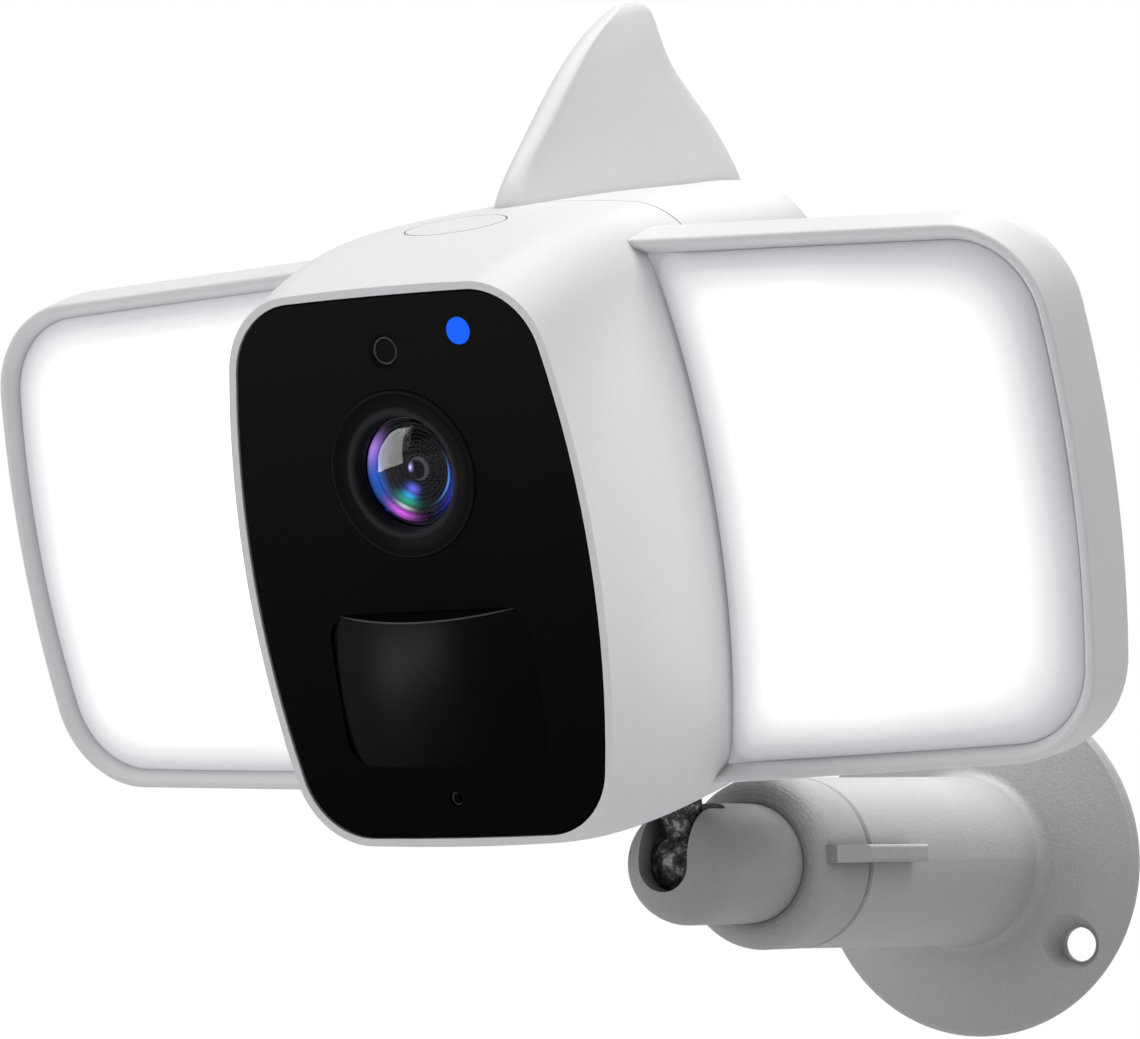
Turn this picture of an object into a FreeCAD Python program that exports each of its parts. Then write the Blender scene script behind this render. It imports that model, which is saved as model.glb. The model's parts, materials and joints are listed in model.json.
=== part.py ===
import FreeCAD
import Part
import math
import os

V = FreeCAD.Vector

# ---------------------------------------------------------------------------
# Frames.  The part's frame: origin at the centre of the wall flange's back
# face, +Y into the wall, +Z up.  The bracket's tube lies along -Y.
# The head is drawn upright in its own frame: the black front panel lies in
# the plane y = 0, y runs back into the head, z = 0 is the panel's mid-height.
# ---------------------------------------------------------------------------
BALL_Y = -126.0            # ball centre on the tube's axis, part frame
REST_TILT = 14.8           # the head looks down by this much at rest
REST_PAN = -3.65           # and is turned by this much on its stud
BALL = V(0, 70.7, -72.0)   # ball centre in the head's frame

# Head casing: rounded-barrel sections along y
PANEL_HALF_W = 35.45
PANEL_HALF_H = 48.0
PANEL_CORNER = 13.5
SIDE_R = 185.0             # radius of the bowed sides
RIM = 1.65                 # visible width of the casing round the panel
WALL = 2.4
SEAM_Y = 50.0              # joint between front and rear casing
SEAM_GAP = 0.35
HEAD_DEPTH = 113.0
# y, half width, top, bottom, corner radius, crown radius
STATIONS = [
    (0.0, 37.10, 49.65, -49.65, 14.9, 500.0),
    (9.0, 38.60, 52.35, -51.40, 15.0, 400.0),
    (19.0, 39.90, 54.75, -52.60, 15.0, 260.0),
    (32.0, 40.80, 56.40, -53.30, 15.0, 185.0),
    (50.0, 41.00, 56.10, -53.00, 15.0, 181.0),
    (70.0, 39.80, 54.90, -52.20, 15.0, 181.0),
    (88.0, 37.00, 53.30, -51.00, 15.0, 181.0),
    (101.0, 33.30, 51.60, -49.40, 15.0, 181.0),
    (107.5, 29.60, 48.90, -47.00, 14.5, 181.0),
    (111.3, 25.00, 44.80, -43.20, 13.5, 181.0),
    (HEAD_DEPTH, 19.00, 39.00, -37.60, 12.0, 181.0),
]

# Front panel and what shows through it
PANEL_FRONT = 0.2
PANEL_BACK = 2.0
LEDGE_Y = 2.6
LEDGE_BACK = 4.4
LEDGE_W = 2.6
LENS_Z = 16.8
BEZEL_R = 14.8
GLASS_R = 9.6
SENSOR_Z = 38.4
SENSOR_R = 2.5
LED_X = 16.04
LED_Z = 40.9
LED_R = 2.36
PIR_Z = -21.1
PIR_HALF_W = 21.2
PIR_HALF_H = 13.6
PIR_CORNER = 5.0
PIR_FRONT = -3.6           # the window's crest stands proud of the panel
PIR_BOW_X = 56.0
PIR_BOW_Z = 120.0
PIR_SKIN = 1.2
PIR_SLOPE_Y = 0.9          # top slope: from here at the upper edge
PIR_SLOPE_DROP = 1.9       # and down by this much at the crest
MIC_Z = -41.1
MIC_R = 1.3
FRONT_BOARD_Y = 11.0
BOARD_T = 1.6

# Lamps
LAMP_LIP_Y = 31.8
LAMP_MID_Y = 40.0
LAMP_BACK_Y = 48.2
LAMP_TOP = 48.3            # top edge of the recess where it meets the head
LAMP_TOP_SLOPE = -0.0364
LAMP_BOTTOM = -45.6
LAMP_BOTTOM_SLOPE = 0.0338
LAMP_EDGE_X = 35.0         # where the two edge heights are measured
LAMP_OUTER_X = 111.75
LAMP_OUTER_Z = 4.3
LAMP_OUTER_R = 238.0
LAMP_TOP_CORNER = 17.0
LAMP_BOTTOM_CORNER = 16.5
LAMP_LIP = 1.6
LAMP_FLARE = 0.8
LAMP_LIP_ROUND = 0.6
# rounded inner edge of the lip: depth behind its face, outward growth of the outline
LIP_INSIDE = [(-0.01, 0.55), (0.08, 0.28), (0.25, 0.08), (0.5, -0.08)]
LAMP_WALL = 2.0
LAMP_BACK_FILLET = 6.5
LAMP_INNER_X = 12.0        # the outline runs on into the head, then is trimmed
DIFFUSER_INSET = 1.3
DIFFUSER_Y = 34.2
DIFFUSER_T = 2.4
DIFFUSER_CROWN_R = 900.0
DIFFUSER_CENTRE = (76.0, 0.5)
DIFFUSER_CROWN = 1.9       # the crown's top stands this far ahead of the rim
LED_BOARD_Y = 43.4
LED_COLUMNS = 4
LED_ROWS = 5

# Antenna fin on the spine: height, crease y, nose bulge, nose half width, tail y, half thickness
FIN = [
    (44.0, 47.8, 1.4, 9.0, 111.0, 15.6),
    (51.0, 46.9, 1.8, 6.4, 110.2, 13.8),
    (56.7, 45.9, 2.3, 3.3, 109.4, 12.2),
    (62.0, 49.9, 2.0, 2.2, 107.9, 10.2),
    (68.0, 58.3, 1.9, 2.3, 104.7, 8.0),
    (74.0, 66.8, 1.8, 2.3, 101.7, 5.9),
    (79.5, 75.4, 1.6, 2.0, 100.7, 4.3),
    (83.2, 82.7, 1.3, 1.7, 100.7, 3.0),
    (85.6, 89.3, 1.0, 1.3, 99.5, 1.9),
    (86.5, 91.9, 0.6, 0.7, 98.1, 1.0),
]
FIN_HOLLOW_ROWS = 7        # the hollow stops below the thin tip
FIN_WALL = 2.0
FIN_RIB_TOP = 66.0
FIN_SCREW_Y = (62.0, 94.0)
FIN_SCREW_Z = (52.9, 50.0)
ANTENNA_Y = 78.0

# Service plug: an oval in the top, ahead of the fin
PLUG_Y = 28.0
PLUG_HALF_X = 10.0
PLUG_HALF_Y = 6.2
PLUG_FLOOR_Z = 52.2
PLUG_GAP = 0.3

# Boards, cells and speaker
BOARD_PILLARS = [(26.0, 33.0), (-26.0, 33.0), (26.0, -33.0), (-26.0, -33.0)]
MAIN_BOARD_Y = 54.0
MAIN_SCREWS = [(26.0, 26.0), (-26.0, 26.0), (26.0, -26.0), (-26.0, -26.0)]
CELL_X = (-20.0, 0.0, 20.0)
CELL_Y = 78.0
CELL_R = 9.2
CELL_HALF = 32.5
SPEAKER_RINGS = ((4.0, 6), (8.0, 12))
SPEAKER_HOLE_R = 0.9

# Fixings
WELLS = [(20.0, 41.0), (-20.0, 41.0), (20.0, -40.5), (-20.0, -40.5)]
WELL_R = 3.6
WELL_WALL = 1.6
WELL_FLOOR_Y = 58.0
LAMP_SCREW_Z = (26.0, -26.0)
LAMP_SCREW_Y = 40.5
INSERT_R = 5.0
THREAD_R = 3.15
STUD_TOP_Z = -43.5

# Bracket
FLANGE_R = 36.2
FLANGE_T = 2.6
TUBE_R = 16.5
TUBE_BORE_R = 11.0
TUBE_BORE_DEPTH = 74.0
TUBE_END_Y = -82.6
SPIGOT_R = 13.4
SPIGOT_END_Y = -93.4
COLLAR_FRONT_Y = -101.8
COLLAR_R = 16.5
COLLAR_GAP = 0.9           # open joint between collar and tube
COLLAR_MOUTH_R = 11.95
KNUCKLE_R = 11.4
SHOULDER_R = 13.1
SHOULDER_BACK_Y = -93.8
BALL_R = 7.5
NECK_R = 4.2
SLOT_HALF = 5.1
SLOT_BACK = 4.0
SEAT_FRONT = 3.9           # the seat stays this far behind the ball's centre, clear of the neck
FIXING_HOLE_R = 3.5
DISH_FLOOR_R = 4.0
DISH_FLOOR_Y = -1.5
FIXING_PCD_R = 28.8
FIXING_COUNT = 3
FIXING_PHASE = -38.0
WING_START_Y = -99.8
WING_END_Y = -65.8
WING_Z = 1.3
WING_H = 4.0
WING_T = 3.4
WING_RAMP = 9.0


# ---------------------------------------------------------------- geometry
def box(x0, x1, y0, y1, z0, z1):
    return Part.makeBox(x1 - x0, y1 - y0, z1 - z0, V(x0, y0, z0))


def rod(r, start, end):
    """Cylinder of radius r between two points."""
    axis = end - start
    return Part.makeCylinder(r, axis.Length, start, axis)


def rod_y(r, x, z, y0, y1):
    return rod(r, V(x, y0, z), V(x, y1, z))


def fuse_all(shapes):
    whole = shapes[0]
    for s in shapes[1:]:
        whole = whole.fuse(s)
    return whole.removeSplitter()


def arc(a, m, b):
    return Part.Arc(a, m, b).toShape()


def circle_crossing(c0, r0, c1, r1, pick):
    """Crossing of two circles in the x-z plane; pick(p, q) chooses one."""
    dx, dz = c1[0] - c0[0], c1[1] - c0[1]
    d = math.hypot(dx, dz)
    a = (r0 * r0 - r1 * r1 + d * d) / (2 * d)
    h = math.sqrt(max(r0 * r0 - a * a, 0.0))
    mx, mz = c0[0] + a * dx / d, c0[1] + a * dz / d
    p = (mx + h * dz / d, mz - h * dx / d)
    q = (mx - h * dz / d, mz + h * dx / d)
    return pick(p, q)


def further_along(c, centre, r):
    """Where the ray from c through centre meets the circle of radius r round c."""
    dx, dz = centre[0] - c[0], centre[1] - c[1]
    d = math.hypot(dx, dz)
    return c[0] + dx * r / d, c[1] + dz * r / d


def barrel_wire(y, half_w, top, bottom, corner, crown, inset=0.0):
    """Closed section: bowed sides, crowned top and bottom, rounded corners."""
    side_r = SIDE_R - inset
    crown_r = crown - inset
    r = max(corner - inset, 1.5)
    side_c = (half_w - SIDE_R, 0.0)
    top_c = (0.0, top - crown)
    bottom_c = (0.0, bottom + crown)
    up = circle_crossing(side_c, side_r - r, top_c, crown_r - r,
                         lambda p, q: p if p[1] > q[1] else q)
    down = circle_crossing(side_c, side_r - r, bottom_c, crown_r - r,
                           lambda p, q: p if p[1] < q[1] else q)
    side_up = further_along(side_c, up, side_r)
    side_down = further_along(side_c, down, side_r)
    top_in = further_along(top_c, up, crown_r)
    bottom_in = further_along(bottom_c, down, crown_r)

    def corner_mid(centre, a, b):
        mx, mz = (a[0] + b[0]) / 2 - centre[0], (a[1] + b[1]) / 2 - centre[1]
        d = math.hypot(mx, mz)
        return centre[0] + mx * r / d, centre[1] + mz * r / d

    up_mid = corner_mid(up, side_up, top_in)
    down_mid = corner_mid(down, side_down, bottom_in)
    half = [
        (side_down, (half_w - inset, 0.0), side_up),
        (side_up, up_mid, top_in),
    ]
    lower = [(bottom_in, down_mid, side_down)]

    def p3(p, mirror=1):
        return V(p[0] * mirror, y, p[1])

    def mirrored(a, m, b):
        return arc(p3(b, -1), p3(m, -1), p3(a, -1))

    edges = [arc(p3(a), p3(m), p3(b)) for a, m, b in half]
    edges.append(arc(p3(top_in), V(0, y, top - inset), p3(top_in, -1)))
    edges.append(mirrored(*half[1]))
    edges.append(mirrored(*half[0]))
    edges.append(mirrored(*lower[0]))
    edges.append(arc(p3(bottom_in, -1), V(0, y, bottom + inset), p3(bottom_in)))
    edges.append(arc(*[p3(p) for p in lower[0]]))
    return Part.Wire(edges)


def panel_wire(y, inset=0.0):
    return barrel_wire(y, PANEL_HALF_W, PANEL_HALF_H, -PANEL_HALF_H, PANEL_CORNER, 900.0, inset)


def prism(wire, depth):
    return Part.Face(wire).extrude(V(0, depth, 0))


def casing(inset=0.0):
    """Solid inside the casing's outer surface, moved in by inset."""
    wires = []
    for y, w, t, b, r, c in STATIONS:
        yy = y
        if y == HEAD_DEPTH:
            yy = HEAD_DEPTH - max(inset, 0.0)
        wires.append(barrel_wire(yy, w, t, b, r, c, inset))
    return Part.makeLoft(wires, True, False)


def rounded_rect_y(half_w, half_h, r, x, z, y0, y1):
    """Rounded rectangle in x-z, standing from y0 to y1."""
    b = box(x - half_w, x + half_w, y0, y1, z - half_h, z + half_h)
    edges = [e for e in b.Edges if abs(e.Vertexes[0].Y - e.Vertexes[-1].Y) > 1e-6]
    return b.makeFillet(r, edges)


def mirror_x(shape):
    return shape.mirror(V(0, 0, 0), V(1, 0, 0))


def lamp_wire(y, grow):
    """Outline of the right-hand lamp's recess, moved out by grow."""
    outer_c = (LAMP_OUTER_X - LAMP_OUTER_R, LAMP_OUTER_Z)
    outer_r = LAMP_OUTER_R + grow

    def edge_line(height, slope, sign):
        length = math.hypot(1.0, slope)
        normal = (-slope * sign / length, sign / length)
        start = (LAMP_EDGE_X + normal[0] * grow, height + normal[1] * grow)
        return start, (1.0 / length, slope / length), normal

    def corner(height, slope, sign, r):
        start, along, normal = edge_line(height, slope, sign)
        base = (start[0] - normal[0] * r, start[1] - normal[1] * r)
        ex, ez = base[0] - outer_c[0], base[1] - outer_c[1]
        b = ex * along[0] + ez * along[1]
        c = ex * ex + ez * ez - (outer_r - r) ** 2
        t = -b + math.sqrt(b * b - c)
        centre = (base[0] + along[0] * t, base[1] + along[1] * t)
        on_line = (centre[0] + normal[0] * r, centre[1] + normal[1] * r)
        on_arc = further_along(outer_c, centre, outer_r)
        mx = (on_line[0] + on_arc[0]) / 2 - centre[0]
        mz = (on_line[1] + on_arc[1]) / 2 - centre[1]
        d = math.hypot(mx, mz)
        mid = (centre[0] + mx * r / d, centre[1] + mz * r / d)
        back = (LAMP_INNER_X - start[0]) / along[0]
        inner = (LAMP_INNER_X, start[1] + along[1] * back)
        return on_line, mid, on_arc, inner

    t_line, t_mid, t_arc, t_inner = corner(LAMP_TOP, LAMP_TOP_SLOPE, 1, LAMP_TOP_CORNER + grow)
    b_line, b_mid, b_arc, b_inner = corner(LAMP_BOTTOM, LAMP_BOTTOM_SLOPE, -1, LAMP_BOTTOM_CORNER + grow)

    def p(q):
        return V(q[0], y, q[1])

    edges = [
        Part.LineSegment(p(b_inner), p(b_line)).toShape(),
        arc(p(b_line), p(b_mid), p(b_arc)),
        arc(p(b_arc), V(outer_c[0] + outer_r, y, outer_c[1]), p(t_arc)),
        arc(p(t_arc), p(t_mid), p(t_line)),
        Part.LineSegment(p(t_line), p(t_inner)).toShape(),
        Part.LineSegment(p(t_inner), p(b_inner)).toShape(),
    ]
    return Part.Wire(edges)


def loft(wires, ruled=True):
    return Part.makeLoft(wires, True, ruled)


def cap_screw(r, head_r, head_h, length, top, direction):
    """Pan-head screw: the head's outer face is at top, the shank runs along direction."""
    d = V(direction)
    d.normalize()
    head = rod(head_r, top, top + d * head_h)
    shank = rod(r, top + d * head_h * 0.5, top + d * (head_h + length))
    drive = rod(head_r * 0.42, top - d, top + d * head_h * 0.45)
    return head.fuse(shank).cut(drive).removeSplitter()


# ---------------------------------------------------------------- head casing
def lamp_fixings(grow=0.0):
    """Holes through casing side and lamp wall on the right: two screws, one lead."""
    cuts = [rod(1.6 + grow, V(25, LAMP_SCREW_Y, z), V(52, LAMP_SCREW_Y, z)) for z in LAMP_SCREW_Z]
    cuts.append(rod(3.0, V(25, LAMP_SCREW_Y, 0), V(52, LAMP_SCREW_Y, 0)))
    return cuts


def plug_prism(grow, z0, z1):
    ellipse = Part.Ellipse(V(0, PLUG_Y, z0), PLUG_HALF_X + grow, PLUG_HALF_Y + grow)
    return Part.Face(Part.Wire([ellipse.toShape()])).extrude(V(0, 0, z1 - z0))


def front_shell():
    outer = OUTER.common(box(-60, 60, -1, SEAM_Y, -80, 80))
    cavity = INNER.common(box(-60, 60, LEDGE_BACK, SEAM_Y + 1, -80, 80))
    pocket = prism(panel_wire(-1, -0.15), LEDGE_Y + 1)
    window = prism(panel_wire(-1, LEDGE_W), LEDGE_BACK + 2)
    shell = outer.cut(cavity).cut(pocket).cut(window)
    # bosses for the rear screws, tied to the side walls
    bosses = []
    for x, z in WELLS:
        bosses.append(rod_y(4.2, x, z, 34.0, SEAM_Y))
        wall_z = z + math.copysign(14.0, z)
        bosses.append(box(x - 1.0, x + 1.0, 34.0, SEAM_Y - 1.2, min(z, wall_z), max(z, wall_z)))
    # pillars behind the ledge for the front board
    for x, z in BOARD_PILLARS:
        bosses.append(rod_y(3.0, x, z, LEDGE_BACK - 0.8, FRONT_BOARD_Y))
        bosses.append(box(min(x, x * 1.5), max(x, x * 1.5), LEDGE_BACK - 0.8, FRONT_BOARD_Y, z - 1, z + 1))
    # seat under the service plug
    bosses.append(plug_prism(2.4, PLUG_FLOOR_Z - 2.6, 60))
    inside = OUTER_SKIN
    for b in bosses:
        shell = shell.fuse(b.common(inside))
    cuts = [rod_y(1.25, x, z, 33.0, SEAM_Y + 1) for x, z in WELLS]
    cuts += [rod_y(1.0, x, z, LEDGE_BACK + 0.4, FRONT_BOARD_Y + 1) for x, z in BOARD_PILLARS]
    cuts += lamp_fixings()
    cuts += [mirror_x(c) for c in lamp_fixings()]
    cuts.append(plug_prism(PLUG_GAP, PLUG_FLOOR_Z, 70))
    cuts.append(plug_prism(-2.2, PLUG_FLOOR_Z - 8, 70))
    for c in cuts:
        shell = shell.cut(c)
    return shell.removeSplitter()


def rear_shell():
    outer = OUTER.common(box(-60, 60, SEAM_Y + SEAM_GAP, 130, -80, 80))
    cavity = INNER.common(box(-60, 60, SEAM_Y - 1, 130, -80, 80))
    shell = outer.cut(cavity)
    bosses = []
    for x, z in WELLS:
        bosses.append(rod_y(WELL_R + WELL_WALL, x, z, SEAM_Y + SEAM_GAP, HEAD_DEPTH))
    # boss that carries the tripod insert
    bosses.append(rod(9.0, V(0, BALL.y, -60), V(0, BALL.y, STUD_TOP_Z + 4)))
    # speaker ring
    bosses.append(rod_y(16.2, 0, 0, 98.0, HEAD_DEPTH).cut(rod_y(14.4, 0, 0, 90.0, HEAD_DEPTH - WALL)))
    for b in bosses:
        shell = shell.fuse(b.common(OUTER_SKIN))
    cuts = []
    for x, z in WELLS:
        cuts.append(rod_y(WELL_R, x, z, WELL_FLOOR_Y, 130))
        cuts.append(rod_y(1.7, x, z, SEAM_Y - 1, 130))
    cuts.append(rod(INSERT_R, V(0, BALL.y, -53.0), V(0, BALL.y, STUD_TOP_Z + 2)))
    cuts.append(rod(INSERT_R, V(0, BALL.y, -60), V(0, BALL.y, -50)))
    for x, z in speaker_holes():
        cuts.append(rod_y(SPEAKER_HOLE_R, x, z, 105, 130))
    cuts.append(rod(3.2, V(0, ANTENNA_Y, 40), V(0, ANTENNA_Y, 60)))
    for y in FIN_SCREW_Y:
        cuts.append(rod(1.4, V(0, y, 40), V(0, y, 62)))
    for c in cuts:
        shell = shell.cut(c)
    return shell.removeSplitter()


def shell_seal():
    """Rubber cord gasket just inside the seam."""
    outline = casing_section(SEAM_Y, WALL + 0.06)
    inner = casing_section(SEAM_Y, WALL + 1.4)
    ring = prism(outline, 1.6).cut(prism(inner, 1.6))
    ring.translate(V(0, -0.8, 0))
    return ring


def casing_section(y, inset):
    """Section of the casing at a station."""
    for s in STATIONS:
        if abs(s[0] - y) < 1e-6:
            return barrel_wire(*s, inset)
    raise ValueError("no station at %s" % y)


def speaker_holes():
    """Centre hole and rings of holes in the back, over the speaker."""
    holes = [(0.0, 0.0)]
    for ring_r, count in SPEAKER_RINGS:
        for i in range(count):
            a = 2 * math.pi * i / count
            holes.append((ring_r * math.cos(a), ring_r * math.sin(a)))
    return holes


# ---------------------------------------------------------------- front panel
def front_panel():
    plate = prism(panel_wire(PANEL_FRONT), PANEL_BACK - PANEL_FRONT)
    front_edges = [e for e in plate.Edges if all(abs(v.Y - PANEL_FRONT) < 1e-6 for v in e.Vertexes)]
    plate = plate.makeChamfer(0.3, front_edges)
    cuts = [
        rod_y(BEZEL_R + 0.1, 0, LENS_Z, -1, 4),
        rod_y(SENSOR_R, 0, SENSOR_Z, -1, 4),
        Part.makeCone(SENSOR_R + 0.7, SENSOR_R, 0.7, V(0, PANEL_FRONT, SENSOR_Z), V(0, 1, 0)),
        rod_y(LED_R + 0.06, LED_X, LED_Z, -1, 4),
        rod_y(MIC_R, 0, MIC_Z, -1, 4),
        rounded_rect_y(PIR_HALF_W, PIR_HALF_H, PIR_CORNER, 0, PIR_Z, -1, 4),
    ]
    for c in cuts:
        plate = plate.cut(c)
    return plate


def panel_gasket():
    outer = prism(panel_wire(PANEL_BACK, 0.3), LEDGE_Y - PANEL_BACK)
    return outer.cut(prism(panel_wire(PANEL_BACK - 1, LEDGE_W - 0.2), 3))


def lens_bezel():
    """Stepped black ring: raised rim, dished inside down to the glass."""
    pts = [
        (GLASS_R + 0.15, 6.0), (BEZEL_R - 1.6, 6.0), (BEZEL_R - 1.6, 2.2), (BEZEL_R, 2.2),
        (BEZEL_R, -0.1), (BEZEL_R - 0.7, -0.75), (BEZEL_R - 2.0, -0.95), (BEZEL_R - 3.1, -0.6),
        (GLASS_R + 0.9, 1.3), (GLASS_R + 0.15, 1.5),
    ]
    return revolve_y(pts, 0, LENS_Z)


def revolve_y(pts, x, z):
    """Revolve (radius, y) points round the y direction through x, z."""
    line = Part.makePolygon([V(x + r, y, z) for r, y in pts + pts[:1]])
    return Part.Face(line).revolve(V(x, 0, z), V(0, 1, 0), 360)


def lens_glass():
    """Domed front element."""
    dome_r = 17.0
    dome = Part.makeSphere(dome_r, V(0, dome_r + 0.2, LENS_Z))
    return dome.common(rod_y(GLASS_R, 0, LENS_Z, -1, 4.4))


def lens_barrel():
    body = rod_y(9.0, 0, LENS_Z, 6.4, 12.0)
    flange = rod_y(12.6, 0, LENS_Z, 6.4, 8.0)
    thread = rod_y(6.0, 0, LENS_Z, 12.0, 19.0)
    holder = rounded_rect_y(8.5, 8.5, 1.2, 0, LENS_Z, 15.0, 22.0)
    bore = rod_y(4.5, 0, LENS_Z, 5, 18.5)
    back = rod_y(5.4, 0, LENS_Z, 18.0, 23)
    return fuse_all([body, flange, thread, holder]).cut(bore).cut(back)


def image_sensor_board():
    board = rounded_rect_y(15.0, 15.0, 1.0, 0, LENS_Z, 22.0, 22.0 + BOARD_T)
    chip = box(-3.8, 3.8, 20.8, 22.0, LENS_Z - 3.2, LENS_Z + 3.2)
    return board.fuse(chip).removeSplitter()


def light_sensor_window():
    return rod_y(SENSOR_R - 0.05, 0, SENSOR_Z, 1.1, 2.4)


def light_sensor():
    return box(-1.6, 1.6, FRONT_BOARD_Y - 1.4, FRONT_BOARD_Y, SENSOR_Z - 1.3, SENSOR_Z + 1.3)


def status_light_pipe():
    tip = rod_y(LED_R, LED_X, LED_Z, PANEL_FRONT, 2.2)
    stem = rod_y(1.6, LED_X, LED_Z, 2.0, FRONT_BOARD_Y - 1.4)
    return tip.fuse(stem).removeSplitter()


def status_led():
    return box(LED_X - 1.6, LED_X + 1.6, FRONT_BOARD_Y - 1.0, FRONT_BOARD_Y, LED_Z - 1.4, LED_Z + 1.4)


def pir_bulge(inset):
    """Toroidal body whose outer skin bows PIR_BOW_X across and PIR_BOW_Z up and down."""
    centre = V(0, PIR_FRONT + PIR_BOW_Z, PIR_Z)
    return Part.makeTorus(PIR_BOW_Z - PIR_BOW_X, PIR_BOW_X - inset, centre, V(1, 0, 0))


def pir_lens():
    """Bowed window, its top end cut back to a slope, with a clip flange behind the panel."""
    face = rounded_rect_y(PIR_HALF_W - 0.12, PIR_HALF_H - 0.12, PIR_CORNER - 0.1, 0, PIR_Z, -6, 3.4)
    outer = face.common(pir_bulge(0.0))
    top = PIR_Z + PIR_HALF_H
    slope = Part.makePolygon([V(-30, PIR_SLOPE_Y, top), V(-30, PIR_FRONT - 1, top - PIR_SLOPE_DROP),
                              V(-30, PIR_FRONT - 1, top + 3), V(-30, PIR_SLOPE_Y, top + 3),
                              V(-30, PIR_SLOPE_Y, top)])
    outer = outer.cut(Part.Face(slope).extrude(V(60, 0, 0)))
    flange = rounded_rect_y(PIR_HALF_W + 1.0, PIR_HALF_H + 1.0, PIR_CORNER, 0, PIR_Z, 2.1, 3.4)
    solid = outer.fuse(flange)
    room = rounded_rect_y(PIR_HALF_W - PIR_SKIN, PIR_HALF_H - PIR_SKIN - PIR_SLOPE_DROP,
                          PIR_CORNER - PIR_SKIN, 0, PIR_Z - PIR_SLOPE_DROP / 2, -6, 6)
    return solid.cut(room.common(pir_bulge(PIR_SKIN))).removeSplitter()


def pir_sensor():
    can = rod_y(4.1, 0, PIR_Z, 6.4, FRONT_BOARD_Y - 0.5)
    brim = rod_y(4.7, 0, PIR_Z, FRONT_BOARD_Y - 0.9, FRONT_BOARD_Y)
    return can.fuse(brim).removeSplitter()


def microphone():
    return rod_y(2.0, 0, MIC_Z, 3.2, 5.4)


def mic_boot():
    """Rubber boot that holds the microphone to the panel's back."""
    return rod_y(3.6, 0, MIC_Z, PANEL_BACK, 6.4).cut(rod_y(2.0, 0, MIC_Z, 3.2, 5.4)).cut(
        rod_y(0.9, 0, MIC_Z, 1, 4)).cut(rod_y(1.0, 0, MIC_Z, 5, 8))


def front_board():
    outline = prism(panel_wire(FRONT_BOARD_Y, 4.6), BOARD_T)
    outline = outline.cut(rod_y(13.2, 0, LENS_Z, 5, 20))
    for x, z in BOARD_PILLARS:
        outline = outline.cut(rod_y(1.2, x, z, 5, 20))
    return outline


# ---------------------------------------------------------------- inside
def main_board():
    board = rounded_rect_y(30.0, 30.0, 2.0, 0, 0, MAIN_BOARD_Y, MAIN_BOARD_Y + BOARD_T)
    for x, z in MAIN_SCREWS:
        board = board.cut(rod_y(1.1, x, z, MAIN_BOARD_Y - 1, MAIN_BOARD_Y + 3))
    return board


def board_components():
    """Processor, memory, radio can, inductor and the electrolytics."""
    y = MAIN_BOARD_Y
    parts = [
        box(-9, 9, y - 1.6, y, -4, 14),
        box(12, 24, y - 1.4, y, 0, 10),
        box(-26, -12, y - 2.6, y, 4, 22),
        box(10, 20, y - 5.0, y, -20, -10),
        rod_y(4.0, -18, -16, y - 10, y),
        rod_y(4.0, -8, -18, y - 10, y),
    ]
    return Part.makeCompound(parts)


def battery_cells():
    cells = [rod(CELL_R, V(x, CELL_Y, -CELL_HALF), V(x, CELL_Y, CELL_HALF)) for x in CELL_X]
    return Part.makeCompound(cells)


def battery_cradle():
    """Tray the three cells lie in, with end stops and the main board's posts."""
    front = MAIN_BOARD_Y + BOARD_T
    tray = box(-31.0, 31.0, CELL_Y - 12.0, CELL_Y, -35.0, 35.0)
    for x in CELL_X:
        tray = tray.cut(rod(CELL_R + 0.05, V(x, CELL_Y, -CELL_HALF - 0.1), V(x, CELL_Y, CELL_HALF + 0.1)))
    tray = tray.cut(box(-23, 23, CELL_Y - 13, CELL_Y - 10.8, -23, 23))
    for x, z in MAIN_SCREWS:
        tray = tray.fuse(rod_y(3.2, x, z, front, CELL_Y - 11.5))
        tray = tray.cut(rod_y(0.8, x, z, front - 1, CELL_Y - 11.0))
    return tray.removeSplitter()


def speaker():
    basket = rod_y(14.0, 0, 0, 99.0, 106.0)
    magnet = rod_y(7.5, 0, 0, 93.0, 99.5)
    dish = Part.makeCone(12.6, 5.0, 3.0, V(0, 106.0, 0), V(0, -1, 0))
    return basket.fuse(magnet).cut(dish).removeSplitter()


def service_plug():
    """Flush rubber plug with a skirt that grips the hole below it."""
    top = plug_prism(0.0, PLUG_FLOOR_Z + 0.3, 70).common(OUTER)
    skirt = plug_prism(-2.6, PLUG_FLOOR_Z - 2.4, PLUG_FLOOR_Z + 0.5)
    skirt = skirt.cut(plug_prism(-4.0, PLUG_FLOOR_Z - 3, PLUG_FLOOR_Z - 0.4))
    return top.fuse(skirt).removeSplitter()


def service_board():
    """Small board under the plug with the card socket's shell on it."""
    board = box(-14, 14, PLUG_Y - 9, PLUG_Y + 9, 42.0, 42.0 + BOARD_T)
    socket = box(-12.5, 3.5, PLUG_Y - 8, PLUG_Y - 3.4, 43.0, 46.6)
    slot = box(-11.2, 2.2, PLUG_Y - 6.6, PLUG_Y - 5.2, 43.8, 48)
    return board.fuse(socket).cut(slot).removeSplitter()


def memory_card():
    return box(-10.0, 1.0, PLUG_Y - 6.4, PLUG_Y - 5.4, 43.9, 48.6)


def reset_button():
    """Plunger of the tactile switch on the service board."""
    return rod(1.6, V(5.5, PLUG_Y, 45.4), V(5.5, PLUG_Y, 47.6))


def reset_switch():
    """Body of the tactile switch; the plunger has 0.4 mm of travel in it."""
    body = box(2.5, 8.5, PLUG_Y - 3.0, PLUG_Y + 3.0, 43.6, 46.6)
    return body.cut(rod(1.66, V(5.5, PLUG_Y, 44.8), V(5.5, PLUG_Y, 50)))


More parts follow.
